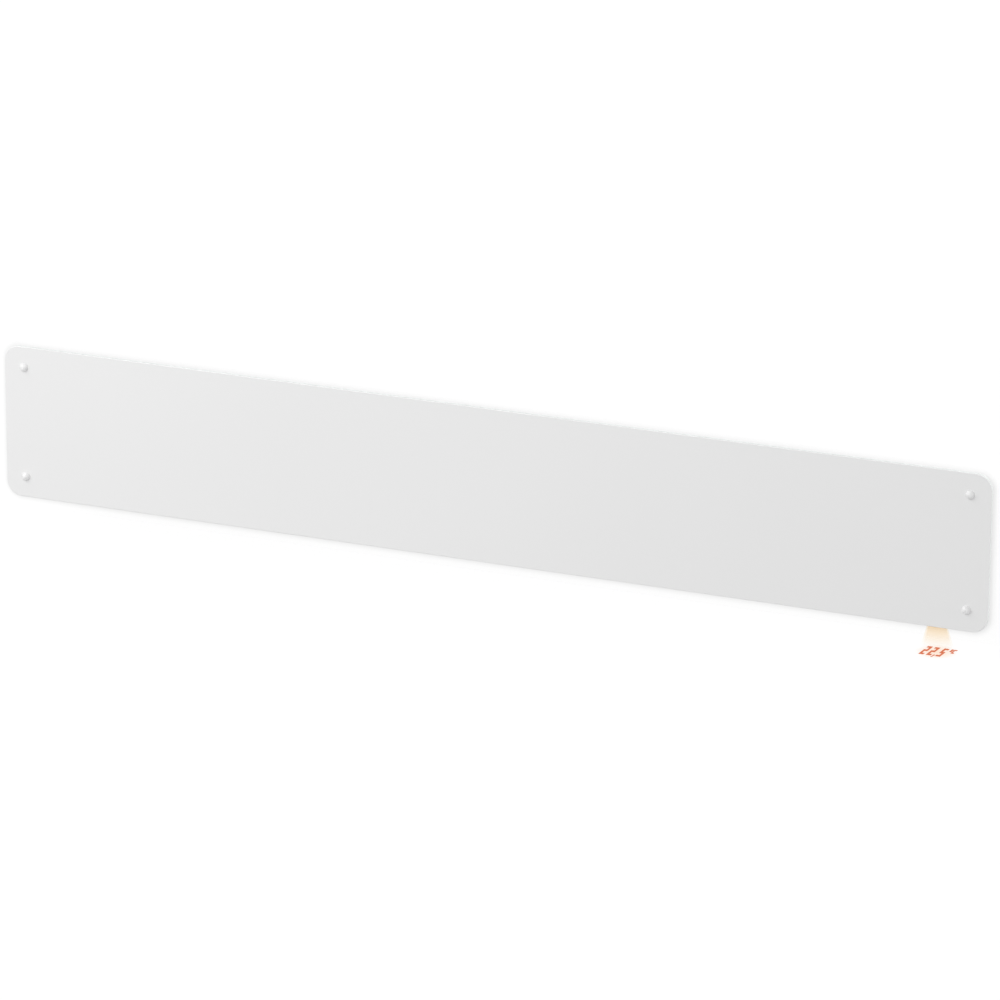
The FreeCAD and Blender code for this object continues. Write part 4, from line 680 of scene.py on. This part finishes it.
def glass_outline(offset):
    """Points of the glass outline moved out by an offset, each with its outward direction."""
    low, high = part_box("glass_front")
    middle_x = (low[0] + high[0]) / 2
    middle_z = (low[2] + high[2]) / 2
    half_x = (high[0] - low[0]) / 2 - GLASS_CORNER
    half_z = (high[2] - low[2]) / 2 - GLASS_CORNER
    radius = GLASS_CORNER + offset
    outline = []
    for corner, (side_x, side_z) in enumerate(((1, 1), (-1, 1), (-1, -1), (1, -1))):
        for step in range(HALO_CORNER_SIDES + 1):
            turn = (corner + step / HALO_CORNER_SIDES) * math.pi / 2
            out_x = math.cos(turn)
            out_z = math.sin(turn)
            x = middle_x + side_x * half_x + radius * out_x
            z = middle_z + side_z * half_z + radius * out_z
            outline.append((x, z, out_x, out_z))
    return outline


def add_halo():
    """Rings round the glass whose shade fades outwards."""
    glass_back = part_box("glass_front")[1][1]
    points = []
    shades = []
    for ring in range(HALO_RINGS + 1):
        share = ring / HALO_RINGS
        for x, z, out_x, out_z in glass_outline(HALO_INNER + share * (HALO_REACH - HALO_INNER)):
            points.append((x, glass_back + HALO_GAP, z))
            across = (HALO_RIGHT_SHARE if out_x > 0 else HALO_LEFT_SHARE) * out_x ** 2
            upright = (HALO_TOP_SHARE if out_z > 0 else HALO_BOTTOM_SHARE) * out_z ** 2
            shades.append((across + upright) * (1 - share) ** HALO_FADE)
    sides = len(points) // (HALO_RINGS + 1)
    faces = ring_faces(sides, HALO_RINGS + 1)
    return add_film("glass_halo", points, faces, shades, film_material("halo_shade", HALO_COLOUR))


def stroke(letter, width, height, across, along):
    """Corners of one stroke of a figure, from the figure's lower left corner."""
    middle = height / 2
    flats = {"a": height - along, "g": middle - along / 2, "d": 0.0}
    if letter in flats:
        low = flats[letter]
        return [(0.0, low), (width, low), (width, low + along), (0.0, low + along)]
    left = 0.0 if letter in "fe" else width - across
    low, high = (middle, height) if letter in "bf" else (0.0, middle)
    return [(left, low), (left + across, low), (left + across, high), (left, high)]


def reading_shapes():
    """Outlines of the figures, the degree sign and the comma, from the foot of the first figure."""
    shapes = []
    for letters, pitches, foot_share, height_share, width_share, stroke_share in FIGURES:
        left = pitches * FIGURE_PITCH
        foot = foot_share * FIGURE_HEIGHT
        for letter in letters:
            corners = stroke(letter, width_share * FIGURE_WIDTH, height_share * FIGURE_HEIGHT,
                             stroke_share * STROKE_ACROSS, stroke_share * STROKE_ALONG)
            shapes.append([(left + u, foot + v) for u, v in corners])
    shapes.append([(COMMA_PITCHES * FIGURE_PITCH + u, v) for u, v in COMMA_CORNERS])
    return shapes


def add_reading():
    """The reading as flat shapes on the floor, slanted to the right."""
    points = []
    faces = []
    for shape in reading_shapes():
        faces.append(tuple(range(len(points), len(points) + len(shape))))
        for u, v in shape:
            slant = FIGURE_SLANT * (v / FIGURE_HEIGHT - SLANT_FOOT_SHARE)
            points.append((READING_X + u + slant, READING_Y + v, FLOOR_Z + READING_LIFT))
    return add_mesh("projected_reading", points, faces, reading_material())


def add_patch():
    """Rings on the floor whose tint fades outwards."""
    points = []
    shades = []
    for ring in range(PATCH_RINGS + 1):
        share = ring / PATCH_RINGS
        for turn in round_turns(PATCH_SIDES):
            x = PATCH_X + share * PATCH_HALF_X * math.cos(turn)
            y = PATCH_Y + share * PATCH_HALF_Y * math.sin(turn)
            points.append((x, y, FLOOR_Z + READING_LIFT / 2))
            shades.append((1 - share ** 2) ** PATCH_FADE)
    faces = ring_faces(PATCH_SIDES, PATCH_RINGS + 1)
    return add_film("projected_patch", points, faces, shades, film_material("patch_light", PATCH_COLOUR))


def add_beam():
    """Open cones, one in the other, that widen from the lens to the floor."""
    points = []
    faces = []
    for shell_share in BEAM_SHELL_SHARES:
        faces.extend(ring_faces(BEAM_SIDES, len(BEAM_ENDS), first=len(points)))
        for share, shift, half_x, half_y in BEAM_ENDS:
            z = BEAM_TOP + share * (FLOOR_Z + READING_LIFT - BEAM_TOP)
            for turn in round_turns(BEAM_SIDES):
                x = BEAM_X + shift + shell_share * half_x * math.cos(turn)
                y = BEAM_Y + shell_share * half_y * math.sin(turn)
                points.append((x, y, z))
    return add_mesh("projected_beam", points, faces, beam_material())


def add_projected_light():
    """The soft shadow and the projector's light, which follow the heater."""
    for light_shape in (add_halo(), add_reading(), add_patch(), add_beam()):
        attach(light_shape, "heater")


# Light and camera

def add_lamp(name, place, aim, size, power, mirrored):
    """A soft square lamp that faces a point."""
    lamp = bpy.data.lights.new(name, "AREA")
    lamp.size = size
    lamp.energy = power
    made = bpy.data.objects.new(name, lamp)
    made.location = place
    made.rotation_mode = "QUATERNION"
    made.rotation_quaternion = (Vector(aim) - Vector(place)).to_track_quat("-Z", "Y")
    made.visible_glossy = mirrored
    scene.collection.objects.link(made)


def add_sky():
    """A white sky, weaker as a light than as the camera, metal and glass see it."""
    world = bpy.data.worlds.new("studio")
    scene.world = world
    world.use_nodes = True
    tree = world.node_tree
    background = tree.nodes["Background"]
    feed(tree, background.inputs["Color"], WHITE)
    ray = add_node(tree, "ShaderNodeLightPath")
    seen = ray.outputs["Is Camera Ray"]
    for kind in ("Is Glossy Ray", "Is Transmission Ray"):
        seen = compute(tree, "MAXIMUM", seen, ray.outputs[kind])
    strength = spread(tree, seen, low=SKY_LIGHT, from_low=0.0, from_high=1.0)
    feed(tree, background.inputs["Strength"], strength)


def add_camera():
    """The camera, turned by azimuth, elevation and roll about its target."""
    azimuth = math.radians(CAMERA_AZIMUTH)
    elevation = math.radians(CAMERA_ELEVATION)
    roll = math.radians(CAMERA_ROLL)
    outward = Vector((math.sin(azimuth), -math.cos(azimuth), 0.0))
    back = outward * math.cos(elevation) + Vector((0.0, 0.0, math.sin(elevation)))
    level = Vector((math.cos(azimuth), math.sin(azimuth), 0.0))
    right = level * math.cos(roll) + back.cross(level) * math.sin(roll)
    lens = bpy.data.cameras.new("camera")
    lens.lens = CAMERA_LENS
    lens.sensor_width = CAMERA_SENSOR
    lens.clip_end = CAMERA_FAR
    made = bpy.data.objects.new("camera", lens)
    turn = Matrix((right, back.cross(right), back)).transposed().to_4x4()
    made.matrix_world = Matrix.Translation(CAMERA_TARGET + back * CAMERA_DISTANCE) @ turn
    scene.collection.objects.link(made)
    scene.camera = made


dress_nodes()
add_floor_and_wall()
add_projected_light()
for lamp_values in LAMPS:
    add_lamp(*lamp_values)
add_sky()
add_camera()
